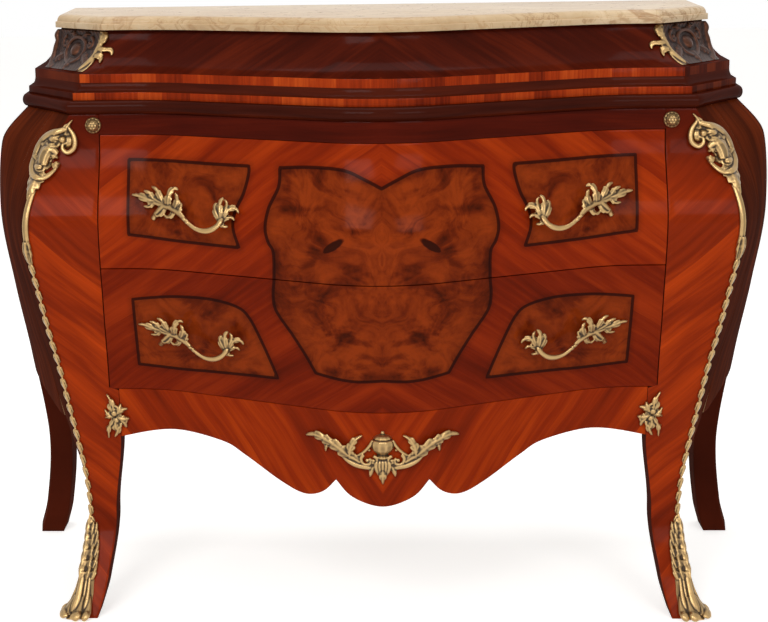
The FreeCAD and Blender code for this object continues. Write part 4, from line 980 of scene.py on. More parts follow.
def hang(piece: Object, body: str, slot: str, *nodes: str) -> None:
    """Let a finished piece ride on its body and stand for its nodes.

    The solids' box is taken from faceted meshes and can lie a few hundredths of a millimetre inside
    the true form, so the vertices are first held inside it.

    Args:
        piece: the finished piece.
        body: the body it rides on.
        slot: its slot, which is not used.
        nodes: the nodes it stands for.
    """
    for vertex in piece.data.vertices:
        vertex.co = [min(max(part, low), high) for part, low, high in zip(vertex.co, *SOLID_BOX)]
    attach(piece, body)
    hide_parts(*nodes)
    LOG.info("%s: %d faces", piece.name, len(piece.data.polygons))


def smooth_line(knots: Sequence[Point], steps: int = 12) -> list[Point]:
    """A smooth line through knots in a plane, with its ends free.

    Args:
        knots: the points that the line passes.
        steps: stretches between two knots.

    Returns:
        The points of the line.
    """
    padded = [knots[0], *knots, knots[-1]]
    line = []
    for before, start, end, after in zip(padded, padded[1:], padded[2:], padded[3:]):
        for step in range(steps):
            t = step / steps
            line.append(tuple(0.5 * (2 * b + (c - a) * t + (2 * a - 5 * b + 4 * c - d) * t * t
                                     + (3 * b - a - 3 * c + d) * t ** 3)
                              for a, b, c, d in zip(before, start, end, after)))
    return [*line, tuple(knots[-1])]


# ---- veneered case

def round_post(around: float, inner: float, outer: Callable[[float], float], front: float,
               back: float) -> Point:
    """A point of a post's section: along its front, outer side, back and inner face in turn.

    Args:
        around: share of the way round, which may run over one.
        inner: half width at the inner face.
        outer: half width at the outer side for each depth.
        front: depth of the front face.
        back: depth of the back face.

    Returns:
        Distance from the middle and depth.
    """
    face, share = divmod(around % 1.0 * 4, 1)
    if face == 1:
        depth = front + (back - front) * share
        return outer(depth), depth
    if face == 3:
        return inner, back + (front - back) * share
    start, end, depth = (inner, outer(front), front) if face == 0 else (outer(back), inner, back)
    return start + (end - start) * share, depth


@dataclass
class Carcass:
    """The fixed wood: posts and legs, side panels, top rail and apron.

    Attributes:
        finishes: the materials.
        leg_inner: half width between the legs, in millimetres.
        play: gap between the apron's ends and the legs.
        rear_width: width of the rear posts' backs.
        rail_back, apron_back: distances of the rail's and the apron's backs behind the belly.
        backs: depth of the front post's back face, at each station.
        inners: half width of the front post's inner face, at each station.
        apron_knots: the apron's lower edge from its end to the cusp.
        lobe_knots: the middle lobe's lower edge from the cusp to the middle.
    """

    finishes: Finishes
    leg_inner: float = 390.0
    play: float = 0.3
    rear_width: float = 46.0
    rail_back: float = 72.0
    apron_back: float = 76.0
    backs: tuple[float, ...] = (-103.5, -81.5, -39.5, -48, -48, -48, -48, -48)
    inners: tuple[float, ...] = (425, 413.25, 401.5, 401.5, 401.5, 401.5, 401.5, 401.5)
    apron_knots: tuple[Point, ...] = ((390, 262), (308, 276), (234, 268), (199, 251), (148, 220),
                                      (113, 206), (86, 213), (66.3, 234))
    lobe_knots: tuple[Point, ...] = ((66.3, 234), (43, 210), (0, 197), (-43, 210))

    def front_post(self, side: Side) -> None:
        """One front corner post and cabriole leg, rebated beside the drawers."""
        ankle, apron_end = CASE.stations[2], self.apron_knots[0][1]

        def form(around: float, up: float, through: float) -> Vector:
            """Round the section, from the floor up."""
            level = up * CASE.case_top
            edge, follow = CASE.arris(level), CASE.along(CASE.splay, level)
            rise = eased((level - ankle) / (apron_end - ankle))
            inner = CASE.along(self.inners, level) * (1 - rise) + self.leg_inner * rise
            if level >= CASE.knee:
                inner = CASE.opening
            x, y = round_post(around, inner,
                              lambda depth: edge.x + follow * (CASE.side(depth, level) - edge.x),
                              edge.y, CASE.along(self.backs, level))
            return place(side * x, y, level)

        piece = Bench.column(f"post_and_leg_{side.word}", 44, 160, form, bevel=0.0011)
        inner_limit = (CASE.opening + 3) * MM
        Bench.paint(piece, (self.finishes.stile, lambda middle, normal: normal.y < -0.8),
                    (self.finishes.leg, lambda middle, normal: side * middle.x < inner_limit
                     or middle.z < 0.33 and side * normal.x < 0),
                    (self.finishes.side, everywhere))
        hang(piece, "carcass", "stile_veneer", f"front_post_{side.word}")

    def rear_post(self, side: Side) -> None:
        """One rear corner post and leg."""
        def form(around: float, up: float, through: float) -> Vector:
            """Round the section, from the floor up."""
            level = up * CASE.case_top
            inner = CASE.opening + CASE.along(CASE.reaches, level) - self.rear_width
            x, y = round_post(around, inner, lambda depth: CASE.side(depth, level),
                              CASE.rear_post_front, CASE.back)
            return place(side * x, y, level)

        piece = Bench.column(f"rear_post_and_leg_{side.word}", 24, 110, form)
        Bench.paint(piece, (self.finishes.carcass, lambda middle, normal: normal.y > 0.9),
                    (self.finishes.leg, lambda middle, normal: normal.y < -0.7),
                    (self.finishes.side, everywhere))
        hang(piece, "carcass", "side_veneer", f"rear_post_{side.word}")

    def side_panel(self, side: Side) -> None:
        """One swelling side panel with an arched lower edge."""
        gap, drop, rise, thickness, margin = 0.4, 52.0, 28.6, 18.0, 16.0
        front, rear, foot = CASE.post_back + gap, CASE.rear_post_front - gap, CASE.knee - drop

        def form(across: float, up: float, through: float) -> Vector:
            """Front to back, foot to top, outside to inside."""
            y = front + (rear - front) * across
            reach = (rear - front) / 2 - margin
            arch = max(0.0, 1 - ((y - (front + rear) / 2) / reach) ** 2)
            low = foot + rise * arch
            z = low + (CASE.case_top - low) * up
            return place(side * (CASE.side(y, z) - thickness * through), y, z)

        piece = Bench.slab(f"veneered_side_{side.word}", 44, 70, form)
        Bench.paint(piece, (self.finishes.side, lambda middle, normal: side * normal.x > 0.05),
                    (self.finishes.carcass, everywhere))
        hang(piece, "carcass", "side_veneer", f"side_panel_{side.word}")

    def top_rail(self) -> None:
        """The rail over the upper drawer."""
        def form(across: float, up: float, through: float) -> Vector:
            """Left to right, opening to case top, front to back."""
            x = (2 * across - 1) * CASE.opening
            z = CASE.opening_top + (CASE.case_top - CASE.opening_top) * up
            return CASE.board(x, z, self.rail_back, through)

        piece = Bench.slab("veneered_top_rail", 180, 8, form)
        Bench.paint(piece, (self.finishes.rail, everywhere))
        hang(piece, "carcass", "moulding_veneer", "top_rail")

    def apron(self) -> None:
        """The apron under the drawers, with its lobed lower edge."""
        right_half = 25
        rim = sorted(smooth_line(self.apron_knots) + smooth_line(self.lobe_knots)[:right_half])
        widths, heights = np.array([p[0] for p in rim]), np.array([p[1] for p in rim])

        def form(across: float, up: float, through: float) -> Vector:
            """Left to right, lower edge to top, front to back."""
            x = (2 * across - 1) * (self.leg_inner - self.play)
            low = float(np.interp(abs(x), widths, heights))
            return CASE.board(x, low + (CASE.knee - low) * up, self.apron_back, through)

        piece = Bench.slab("sawn_apron", 200, 26, form, bevel=0.0008)
        Bench.paint(piece, (self.finishes.apron, lambda middle, normal: normal.y < 0.2),
                    (self.finishes.carcass, everywhere))
        hang(piece, "carcass", "stile_veneer", "front_apron")

    def build(self) -> None:
        """Make every piece of fixed wood."""
        for side in Side:
            self.front_post(side)
            self.rear_post(side)
            self.side_panel(side)
        self.top_rail()
        self.apron()


def arc_through(start: Point, middle: Point, end: Point, steps: int) -> list[Point]:
    """Even points along the circle through three points.

    Args:
        start, middle, end: the three points.
        steps: stretches on the way.

    Returns:
        The points from start to end.
    """
    matrix = np.array([[2 * (middle[0] - start[0]), 2 * (middle[1] - start[1])],
                       [2 * (end[0] - start[0]), 2 * (end[1] - start[1])]])
    squares = [p[0] ** 2 + p[1] ** 2 for p in (start, middle, end)]
    centre = np.linalg.solve(matrix, [squares[1] - squares[0], squares[2] - squares[0]])
    angles = [math.atan2(p[1] - centre[1], p[0] - centre[0]) for p in (start, middle, end)]
    turn = (angles[2] - angles[0] + math.pi) % math.tau - math.pi
    if (angles[1] - angles[0]) * turn < 0 and abs(angles[1] - angles[0]) < math.pi:
        turn -= math.copysign(math.tau, turn)
    radius = math.dist(start, centre)
    return [(centre[0] + radius * math.cos(angles[0] + turn * i / steps),
             centre[1] + radius * math.sin(angles[0] + turn * i / steps)) for i in range(steps + 1)]


class Moulding(Enum):
    """The three mouldings between the case and the slab."""

    FRIEZE = "frieze"
    CORNICE = "cornice"
    TORUS = "torus"


@dataclass
class Cornice:
    """Frieze, cornice moulding and torus, each in a front and two side lengths.

    Attributes:
        finishes: the materials.
        head, foot: outsets of the hollow frieze's top and bottom.
        fillet: outset of the lower fillet.
        torus: outset of the torus's root.
        hollow_depth: depth of the frieze's hollow below its chord.
        cove_share: how far across and down the cove's middle lies.
        frieze_thick, moulding_thick: thicknesses towards the hidden backs.
    """

    finishes: Finishes
    head: float = -12.0
    foot: float = 46.0
    fillet: float = 60.0
    torus: float = 64.5
    hollow_depth: float = 12.0
    cove_share: Point = (0.29, 0.71)
    frieze_thick: float = 20.0
    moulding_thick: float = 34.0

    def profile(self, name: Moulding) -> list[Point]:
        """Outsets and heights down the face of one moulding."""
        if name is Moulding.FRIEZE:
            bend = self.hollow_depth / math.sqrt(2)
            middle = ((self.head + self.foot) / 2 - bend, (CASE.frieze_top + CASE.frieze_bottom) / 2 - bend)
            return arc_through((self.head, CASE.frieze_top), middle, (self.foot, CASE.frieze_bottom), 14)
        if name is Moulding.CORNICE:
            across, down = self.cove_share
            middle = (self.foot + across * (self.fillet - self.foot),
                      CASE.cove_top - down * (CASE.cove_top - CASE.cove_bottom))
            cove = arc_through((self.foot, CASE.cove_top), middle, (self.fillet, CASE.cove_bottom), 8)
            return [(self.foot, CASE.frieze_bottom), *cove, (self.fillet, CASE.torus_top)]
        radius = (CASE.torus_top - CASE.case_top) / 2
        middle = (self.torus + radius, CASE.case_top + radius)
        return arc_through((self.torus, CASE.torus_top), middle, (self.torus, CASE.case_top), 14)

    def inner(self, name: Moulding, outset: float) -> float:
        """Outset of the moulding's hidden back."""
        return {Moulding.FRIEZE: outset - self.frieze_thick,
                Moulding.CORNICE: self.foot - self.moulding_thick,
                Moulding.TORUS: self.torus - self.moulding_thick}[name]

    def section(self, name: Moulding, up: float, through: float) -> Point:
        """Outset and height of a point in one moulding's section.

        Args:
            name: the moulding.
            up: share of the way up its face.
            through: share of the way from face to back.

        Returns:
            The outset and the height.
        """
        profile = self.profile(name)
        outset, z = profile[round((1 - up) * (len(profile) - 1))]
        return outset * (1 - through) + self.inner(name, outset) * through, z

    def front(self, name: Moulding) -> None:
        """The bowed front length, mitred at the canted corners."""
        def form(across: float, up: float, through: float) -> Vector:
            """Left to right, bottom to top, face to back."""
            outset, z = self.section(name, up, through)
            x = (2 * across - 1) * CASE.top_corner(outset)[0]
            return place(x, CASE.top_front(x, outset), z)

        piece = Bench.slab(f"{name.value}_bowed_front", 190, len(self.profile(name)) - 1, form)
        self.dress(piece, name, self.finishes.frieze, self.finishes.band)
        hang(piece, "carcass", "moulding_veneer", f"{name.value}_front")

    def side(self, name: Moulding, side: Side) -> None:
        """The canted corner and the side, in one mitred length."""
        columns, canted = 20, 8
        bend = canted / columns

        def form(across: float, up: float, through: float) -> Vector:
            """Front mitre to rear end, bottom to top, face to back."""
            outset, z = self.section(name, up, through)
            turn = CASE.side_corner(outset)
            if across <= bend:
                start, end, share = CASE.top_corner(outset), turn, across / bend
            else:
                start, end, share = turn, CASE.rear_corner(outset), (across - bend) / (1 - bend)
            return place(side * (start[0] + (end[0] - start[0]) * share),
                         start[1] + (end[1] - start[1]) * share, z)

        piece = Bench.slab(f"{name.value}_canted_{side.word}", columns, len(self.profile(name)) - 1, form)
        # Darker copies of the front's veneers: painted shade on the cant and side.
        self.dress(piece, name, self.finishes.frieze_side, self.finishes.side_band)
        hang(piece, "carcass", "moulding_veneer", f"{name.value}_{side.word}")

    def dress(self, piece: Object, name: Moulding, face: Material,
              band: Material) -> None:
        """Veneer one moulding: hollow, banded fillets or plain torus."""
        cove = (CASE.cove_bottom * MM, CASE.cove_top * MM)
        if name is Moulding.FRIEZE:
            Bench.paint(piece, (face, everywhere))
        elif name is Moulding.CORNICE:
            Bench.paint(piece, (self.finishes.torus, lambda middle, normal: cove[0] < middle.z < cove[1]
                                or abs(normal.z) > 0.9), (band, everywhere))
        else:
            Bench.paint(piece, (self.finishes.torus, everywhere))

    def build(self) -> None:
        """Make every moulding."""
        for name in Moulding:
            self.front(name)
            for side in Side:
                self.side(name, side)


@dataclass
class MarbleTop:
    """The marble slab: an upright lower edge, a quirk, and a broad rounded upper edge.

    Attributes:
        finishes: the materials.
        counts: columns of faces along each of its edges.
        edge: outsets and heights over the frieze up to the quirk.
        roll_centre: outset and height over the frieze of the roll's centre.
        roll_reach: the roll's width.
    """

    finishes: Finishes
    counts: tuple[int, ...] = (150, 5, 10, 12, 10, 5)
    edge: tuple[Point, ...] = ((0.0, 0.5), (0.0, 8.6), (-0.5, 9.3), (-4.0, 9.5))
    roll_centre: Point = (-18.0, 10.3)
    roll_reach: float = 14.0

    def outline(self, share: float, outset: float) -> Point:
        """A point of the slab's outline, from its front left corner round to the right."""
        a, b, c = CASE.top_corner(outset), CASE.side_corner(outset), CASE.rear_corner(outset)
        corners = [(-a[0], a[1]), a, b, c, (-c[0], c[1]), (-b[0], b[1]), (-a[0], a[1])]
        index = round(share * sum(self.counts))
        run = 0
        for count, start, end in zip(self.counts, corners, corners[1:]):
            if index <= run + count:
                break
            run += count
        part = (index - run) / count
        x = start[0] + (end[0] - start[0]) * part
        if run == 0:
            return (x, CASE.top_front(x, outset))
        return (x, start[1] + (end[1] - start[1]) * part)

    def build(self) -> None:
        """Make the slab."""
        centre, middle = self.roll_centre[0], CASE.frieze_top + self.roll_centre[1]
        profile = [(outset, CASE.frieze_top + rise) for outset, rise in self.edge]
        profile += [(centre + self.roll_reach * math.cos(turn),
                     middle + (CASE.marble_top - middle) * math.sin(turn))
                    for turn in np.linspace(0.0, math.pi / 2, 8)]

        def form(around: float, up: float, through: float) -> Vector:
            """Round the slab and up its edge."""
            outset, z = profile[round(up * (len(profile) - 1))]
            return place(*self.outline(around, outset), z)

        piece = Bench.column("marble_slab", sum(self.counts), len(profile) - 1, form, bevel=0.0005,
                             corner=30.0)
        Bench.paint(piece, (self.finishes.marble, everywhere))
        hang(piece, "carcass", "marble", "marble_top")


# ---- drawers

@dataclass
class DrawerFront:
    """One drawer front with its inlaid panels.

    Attributes:
        finishes: the materials.
        name: upper or lower.
        low, high: heights of its share of the opening, in millimetres.
        panel: the handle panel's right outline, as sides of knots that meet at corners.
        half_width: half the front's width.
        gap: half the gap between two fronts.
        back: the back's distance behind the belly.
        cartouche: right half of the burl panel's outline over both drawers, in the same way.
    """

    finishes: Finishes
    name: str
    low: float
    high: float
    panel: tuple[tuple[Point, ...], ...]
    half_width: float = 403.0
    gap: float = 0.5
    back: float = 70.0
    cartouche: tuple[tuple[Point, ...], ...] = (
        ((0, 657), (24, 669), (52, 680), (95, 682), (140, 679)),
        ((140, 679), (141, 655), (155, 626), (160, 600), (156, 580), (149, 566), (149, 528), (151, 503),
         (147, 480), (125, 447), (107, 418), (93, 392)),
        ((93, 392), (60, 386), (33, 384), (0, 386)))

    def outlines(self) -> list[np.ndarray]:
        """The closed outlines of the burl panels."""
        half = [p for side in self.cartouche for p in smooth_line(side)[:-1]]
        whole = half + [(0, 386)] + [(-x, z) for x, z in reversed(half[1:])]
        panel = [p for side in self.panel for p in smooth_line(side)[:-1]]
        return [np.array(whole), np.array(panel), np.array(panel) * (-1, 1)]

    @staticmethod
    def distance(points: np.ndarray, outline: np.ndarray) -> np.ndarray:
        """Distance of points to a closed outline, negative inside it.

        Args:
            points: widths and heights.
            outline: corners of the outline.

        Returns:
            One distance for each point.
        """
        starts, ends = outline, np.roll(outline, -1, axis=0)
        nearest = np.full(len(points), np.inf)
        inside = np.zeros(len(points), bool)
        for start, end in zip(starts, ends):
            run = end - start
            share = np.clip((points - start) @ run / max(run @ run, 1e-9), 0, 1)
            nearest = np.minimum(nearest, np.linalg.norm(points - start - share[:, None] * run, axis=1))
            if start[1] != end[1]:
                crosses = (start[1] > points[:, 1]) != (end[1] > points[:, 1])
                reach = start[0] + (points[:, 1] - start[1]) * run[0] / run[1]
                inside ^= crosses & (points[:, 0] < reach)
        return np.where(inside, -nearest, nearest)

    def build(self) -> None:
        """Make the front and write each point's distance to the inlay's outlines on it."""
        low, high = self.low + self.gap, self.high - self.gap

        def form(across: float, up: float, through: float) -> Vector:
            """Left to right, bottom to top, front to back."""
            x = (2 * across - 1) * self.half_width
            return CASE.board(x, low + (high - low) * up, self.back, through)

        piece = Bench.slab(f"{self.name}_front_inlaid", 230, 54, form, bevel=0.0010)
        count = len(piece.data.vertices)
        where = np.empty(count * 3, np.float32)
        piece.data.vertices.foreach_get("co", where)
        flat = where.reshape(-1, 3)[:, (0, 2)].astype(float) / MM
        edge = np.min([self.distance(flat, outline) for outline in self.outlines()], axis=0) * MM
        inlay = piece.data.attributes.new("inlay", "FLOAT", "POINT")
        inlay.data.foreach_set("value", edge.astype(np.float32))
        # The lower front takes the darker copy of the inlaid veneer, painted shade.
        face = self.finishes.drawer if self.name == "upper" else self.finishes.low_drawer
        Bench.paint(piece, (face, lambda middle, normal: normal.y < -0.3),
                    (self.finishes.rail, lambda middle, normal: normal.y < 0.3),
                    (self.finishes.lining[0], everywhere))
        hang(piece, f"{self.name}_drawer", "bright_veneer", f"{self.name}_drawer_front")


UPPER_PANEL = (((361, 681), (300, 680), (240, 679), (184, 679)),
               ((184, 679), (184, 669), (191, 643), (203, 618), (206, 596), (198, 569)),
               ((198, 569), (245, 570), (300, 572), (360, 578)), ((360, 578), (361, 681)))
LOWER_PANEL = (((360, 480), (292, 487), (244, 488), (206, 481), (187, 466), (168, 427), (148, 377)),
               ((148, 377), (237, 375), (300, 373), (357, 377)), ((357, 377), (360, 480)))


# ---- gilt mounts

def on_front(side: Side) -> Ground:
    """Ground of a mount on the front: distance from the middle, height and stand-off."""
    return lambda x, z, off: (side * x, CASE.front(x, z) - off, z)


def round_corner(side: Side, soft: float = 5.0) -> Ground:
    """Ground of a mount that wraps a front corner.

    Args:
        side: the corner's side.
        soft: distance from the corner within which the stand-off swings round.

    Returns:
        A ground of distance round the corner from front to side, height and stand-off.
    """
    def spot(run: float, z: float, off: float) -> Sequence[float]:
        """Go along the front or the side and stand off square to it."""
        edge = CASE.arris(z)
        follow, ahead = CASE.along(CASE.splay, z), 20.0
        flank = Vector((follow * (CASE.side(edge.y + ahead, z) - edge.x), ahead)).normalized()
        turn = eased((run + soft) / (2 * soft))
        away = Vector((flank.y * turn, -flank.x * turn - (1 - turn))).normalized()
        flat = edge.xy + (flank if run > 0 else Vector((1, 0))) * run + away * off
        return side * flat.x, flat.y, z
    return spot


def over_shoulder(side: Side) -> Ground:
    """Ground of the shoulder mount: distance from the middle as the front shows it.

    Args:
        side: the corner's side.

    Returns:
        A ground of distance, height and stand-off.
    """
    wrapped, spread = round_corner(side, 9.0), 1.7

    def spot(x: float, z: float, off: float) -> Sequence[float]:
        """Carry the width on along the side once it is past the corner."""
        beyond = x - CASE.arris(z).x
        return wrapped(beyond if beyond < 0 else beyond * spread, z, off)
    return spot


def cant_at(hollow: Sequence[Point], z: float) -> tuple[float, Vector, Vector]:
    """Outset, front end and direction of the canted face at a height in the hollow frieze.

    Args:
        hollow: outsets and heights down the hollow.
        z: height above the floor.

    Returns:
        The outset, the front end and the direction.
    """
    heights, outsets = [p[1] for p in reversed(hollow)], [p[0] for p in reversed(hollow)]
    outset = float(np.interp(z, heights, outsets))
    start, end = Vector(CASE.top_corner(outset)), Vector(CASE.side_corner(outset))
    return outset, start, (end - start).normalized()


def in_frieze(side: Side, hollow: Sequence[Point]) -> Ground:
    """Ground of the frieze cartouche: distance along the cant, or before it on the front.

    Args:
        side: the cant's side.
        hollow: outsets and heights down the hollow.

    Returns:
        A ground of distance along the cant, height and stand-off.
    """
    def spot(run: float, z: float, off: float) -> Sequence[float]:
        """Follow the hollow at this height from the front end of the cant."""
        outset, start, along = cant_at(hollow, z)
        flat = start + along * run + Vector((along.y, -along.x)) * off
        if run < 0:
            flat = Vector((start.x + run, CASE.top_front(start.x + run, outset) - off))
        return side * flat.x, flat.y, z
    return spot


@dataclass
class Casting:
    """One cast mount, built up from rods, leaves and beads that are then fused to one skin.

    Attributes:
        name: the piece's name.
        ground: turns distances across, up and off the wood, in millimetres, into a place.
        voxel: fineness of the fused skin, in metres.
        sunk: how far a part may reach into the wood, in millimetres.
        parts: the rods, leaves and beads made so far.
    """

    name: str
    ground: Ground
    voxel: float = 0.0008
    sunk: float = 0.8
    parts: list[Object] = field(default_factory=list)

    def spot(self, across: float, up: float, off: float) -> Vector:
        """A place on the mount, no more than a hair below the wood."""
        return place(*self.ground(across, up, max(off, -self.sunk)))

    def rod(self, knots: Sequence[Knot], lobes: int = 0, depth: float = 0.25, steps: int = 5) -> None:
        """Add a rod of changing thickness.

        Args:
            knots: distances across, up and off, and the radius, along its line.
            lobes: flutes round the rod.
            depth: their depth, as a share of the radius.
            steps: stretches between two knots.
        """
        line = np.array(smooth_line(knots, steps))
        ahead = [Vector(run).normalized() for run in np.gradient(line[:, :3], axis=0)]
        sides, side = [], Vector((0.31, 0.17, 0.93))
        for run in ahead:
            side = (side - run * side.dot(run)).normalized()
            sides.append(side)

        def form(around: float, up: float, through: float) -> Vector:
            """Round the rod and along it."""
            index, turn = round(up * (len(line) - 1)), around * math.tau
            radius = line[index][3] * (1 - depth * (0.5 + 0.5 * math.cos(lobes * turn)) * (lobes > 0))
            out = sides[index] * math.cos(turn) + ahead[index].cross(sides[index]) * math.sin(turn)
            return self.spot(*(Vector(line[index][:3]) + out * radius))

        piece = Bench.sheet("rod", max(10, 4 * lobes), len(line) - 1)
        Bench.shape(piece, form)
        self.parts.append(piece)

    def leaf(self, knots: Sequence[Knot], lobes: int = 3, arch: float = 1.6,
             thickness: float = 2.4) -> None:
        """Add a leaf with a raised rib, veins and hooked lobes.

        Args:
            knots: distances across, up and off, and the half width, from its root to its tip.
            lobes: lobes on each edge.
            arch: rise of the rib over the edges.
            thickness: of the blade.
        """
        line = np.array(smooth_line(knots, 7))
        ahead = np.gradient(line[:, :2], axis=0)
        ahead /= np.linalg.norm(ahead, axis=1)[:, None]

        def form(across: float, up: float, through: float) -> Vector:
            """Across the blade, from root to tip and through it."""
            index, span = round(up * (len(line) - 1)), 2 * across - 1
            hook = (up * lobes) % 1.0 if up < 1 else 1.0
            half = line[index][3] * (1 - 0.42 * (1 - hook) ** 1.5 * (up > 0.5 / lobes))
            vein = 0.5 * abs(span) * math.cos(math.tau * (up * lobes - 0.7 * abs(span)))
            rise = arch * (1 - span * span) + 0.9 * math.exp(-(span / 0.2) ** 2) + vein
            left = Vector((-ahead[index][1], ahead[index][0])) * span * half
            return self.spot(line[index][0] + left.x, line[index][1] + left.y,
                             line[index][2] + rise - thickness * through)

        self.parts.append(Bench.panel("leaf", 12, len(line) - 1, form))

    def bead(self, across: float, up: float, off: float, radius: float, tall: float = 1.0) -> None:
        """Add a bead, or a drop where it is taller than wide."""
        bpy.ops.mesh.primitive_uv_sphere_add(segments=14, ring_count=8)
        piece = bpy.context.object
        for vertex in piece.data.vertices:
            x, y, z = vertex.co * radius
            vertex.co = self.spot(across + x, up + z * tall, off - y)
        self.parts.append(piece)

    def scroll(self, across: float, up: float, off: float, reach: Point, start: float,
               turns: float, radii: Point) -> None:
        """Add a rod that curls inwards to its eye, with a bead there.

        Args:
            across, up, off: the eye's place.
            reach: distance from the eye at the outer and the inner end.
            start: direction of the outer end, in degrees.
            turns: how far it winds; clockwise where negative.
            radii: the rod's radius at the outer and the inner end.
        """
        knots = []
        for share in np.linspace(0, 1, max(5, round(abs(turns) * 9))):
            angle = math.radians(start) + math.tau * turns * share
            away, radius = (pair[0] + (pair[1] - pair[0]) * share for pair in (reach, radii))
            knots.append((across + away * math.cos(angle), up + away * math.sin(angle), off, radius))
        self.rod(knots, steps=3)
        self.bead(across, up, off, radii[1] * 1.25)

    def fuse(self, body: str, node: str, *layers: Layer) -> None:
        """Fuse the parts to one skin, write how proud each point stands and hang it.

        Args:
            body: the body it rides on.
            node: the node it stands for.
            layers: its brasses, each with the test of the faces that take it.
        """
        Bench.pick(*self.parts)
        bpy.ops.object.join()
        piece = bpy.context.object
        piece.name = piece.data.name = self.name
        Bench.weld(piece, close=True)
        Bench.modify(piece, "REMESH", mode="VOXEL", voxel_size=self.voxel)
        Bench.modify(piece, "SMOOTH", factor=0.5, iterations=2)
        bpy.ops.object.shade_smooth()
        self.measure(piece)
        Bench.paint(piece, *layers)
        hang(piece, body, "brass", node)

    @staticmethod
    def measure(piece: Object) -> None:
        """Write to each point how far it stands proud of its neighbourhood, from nought to one."""
        mesh, passes, level, gain = piece.data, 14, 0.45, 2.2
        count = len(mesh.vertices)
        where, normal = np.empty(count * 3), np.empty(count * 3)
        mesh.vertices.foreach_get("co", where)
        mesh.vertices.foreach_get("normal", normal)
        where, normal = where.reshape(-1, 3), normal.reshape(-1, 3)
        ends = np.empty(len(mesh.edges) * 2, int)
        mesh.edges.foreach_get("vertices", ends)
        one, two = ends.reshape(-1, 2).T
        degree = np.bincount(ends, minlength=count)[:, None]
        smooth = where.copy()
        for _ in range(passes):
            total = np.zeros_like(smooth)
            for axis in range(3):
                total[:, axis] = np.bincount(one, smooth[two, axis], count)
                total[:, axis] += np.bincount(two, smooth[one, axis], count)
            smooth = total / np.maximum(degree, 1)
        proud = ((where - smooth) * normal).sum(axis=1) / MM
        relief = mesh.attributes.new("relief", "FLOAT", "POINT")
        relief.data.foreach_set("value", np.clip(level + gain * proud, 0, 1).astype(np.float32))


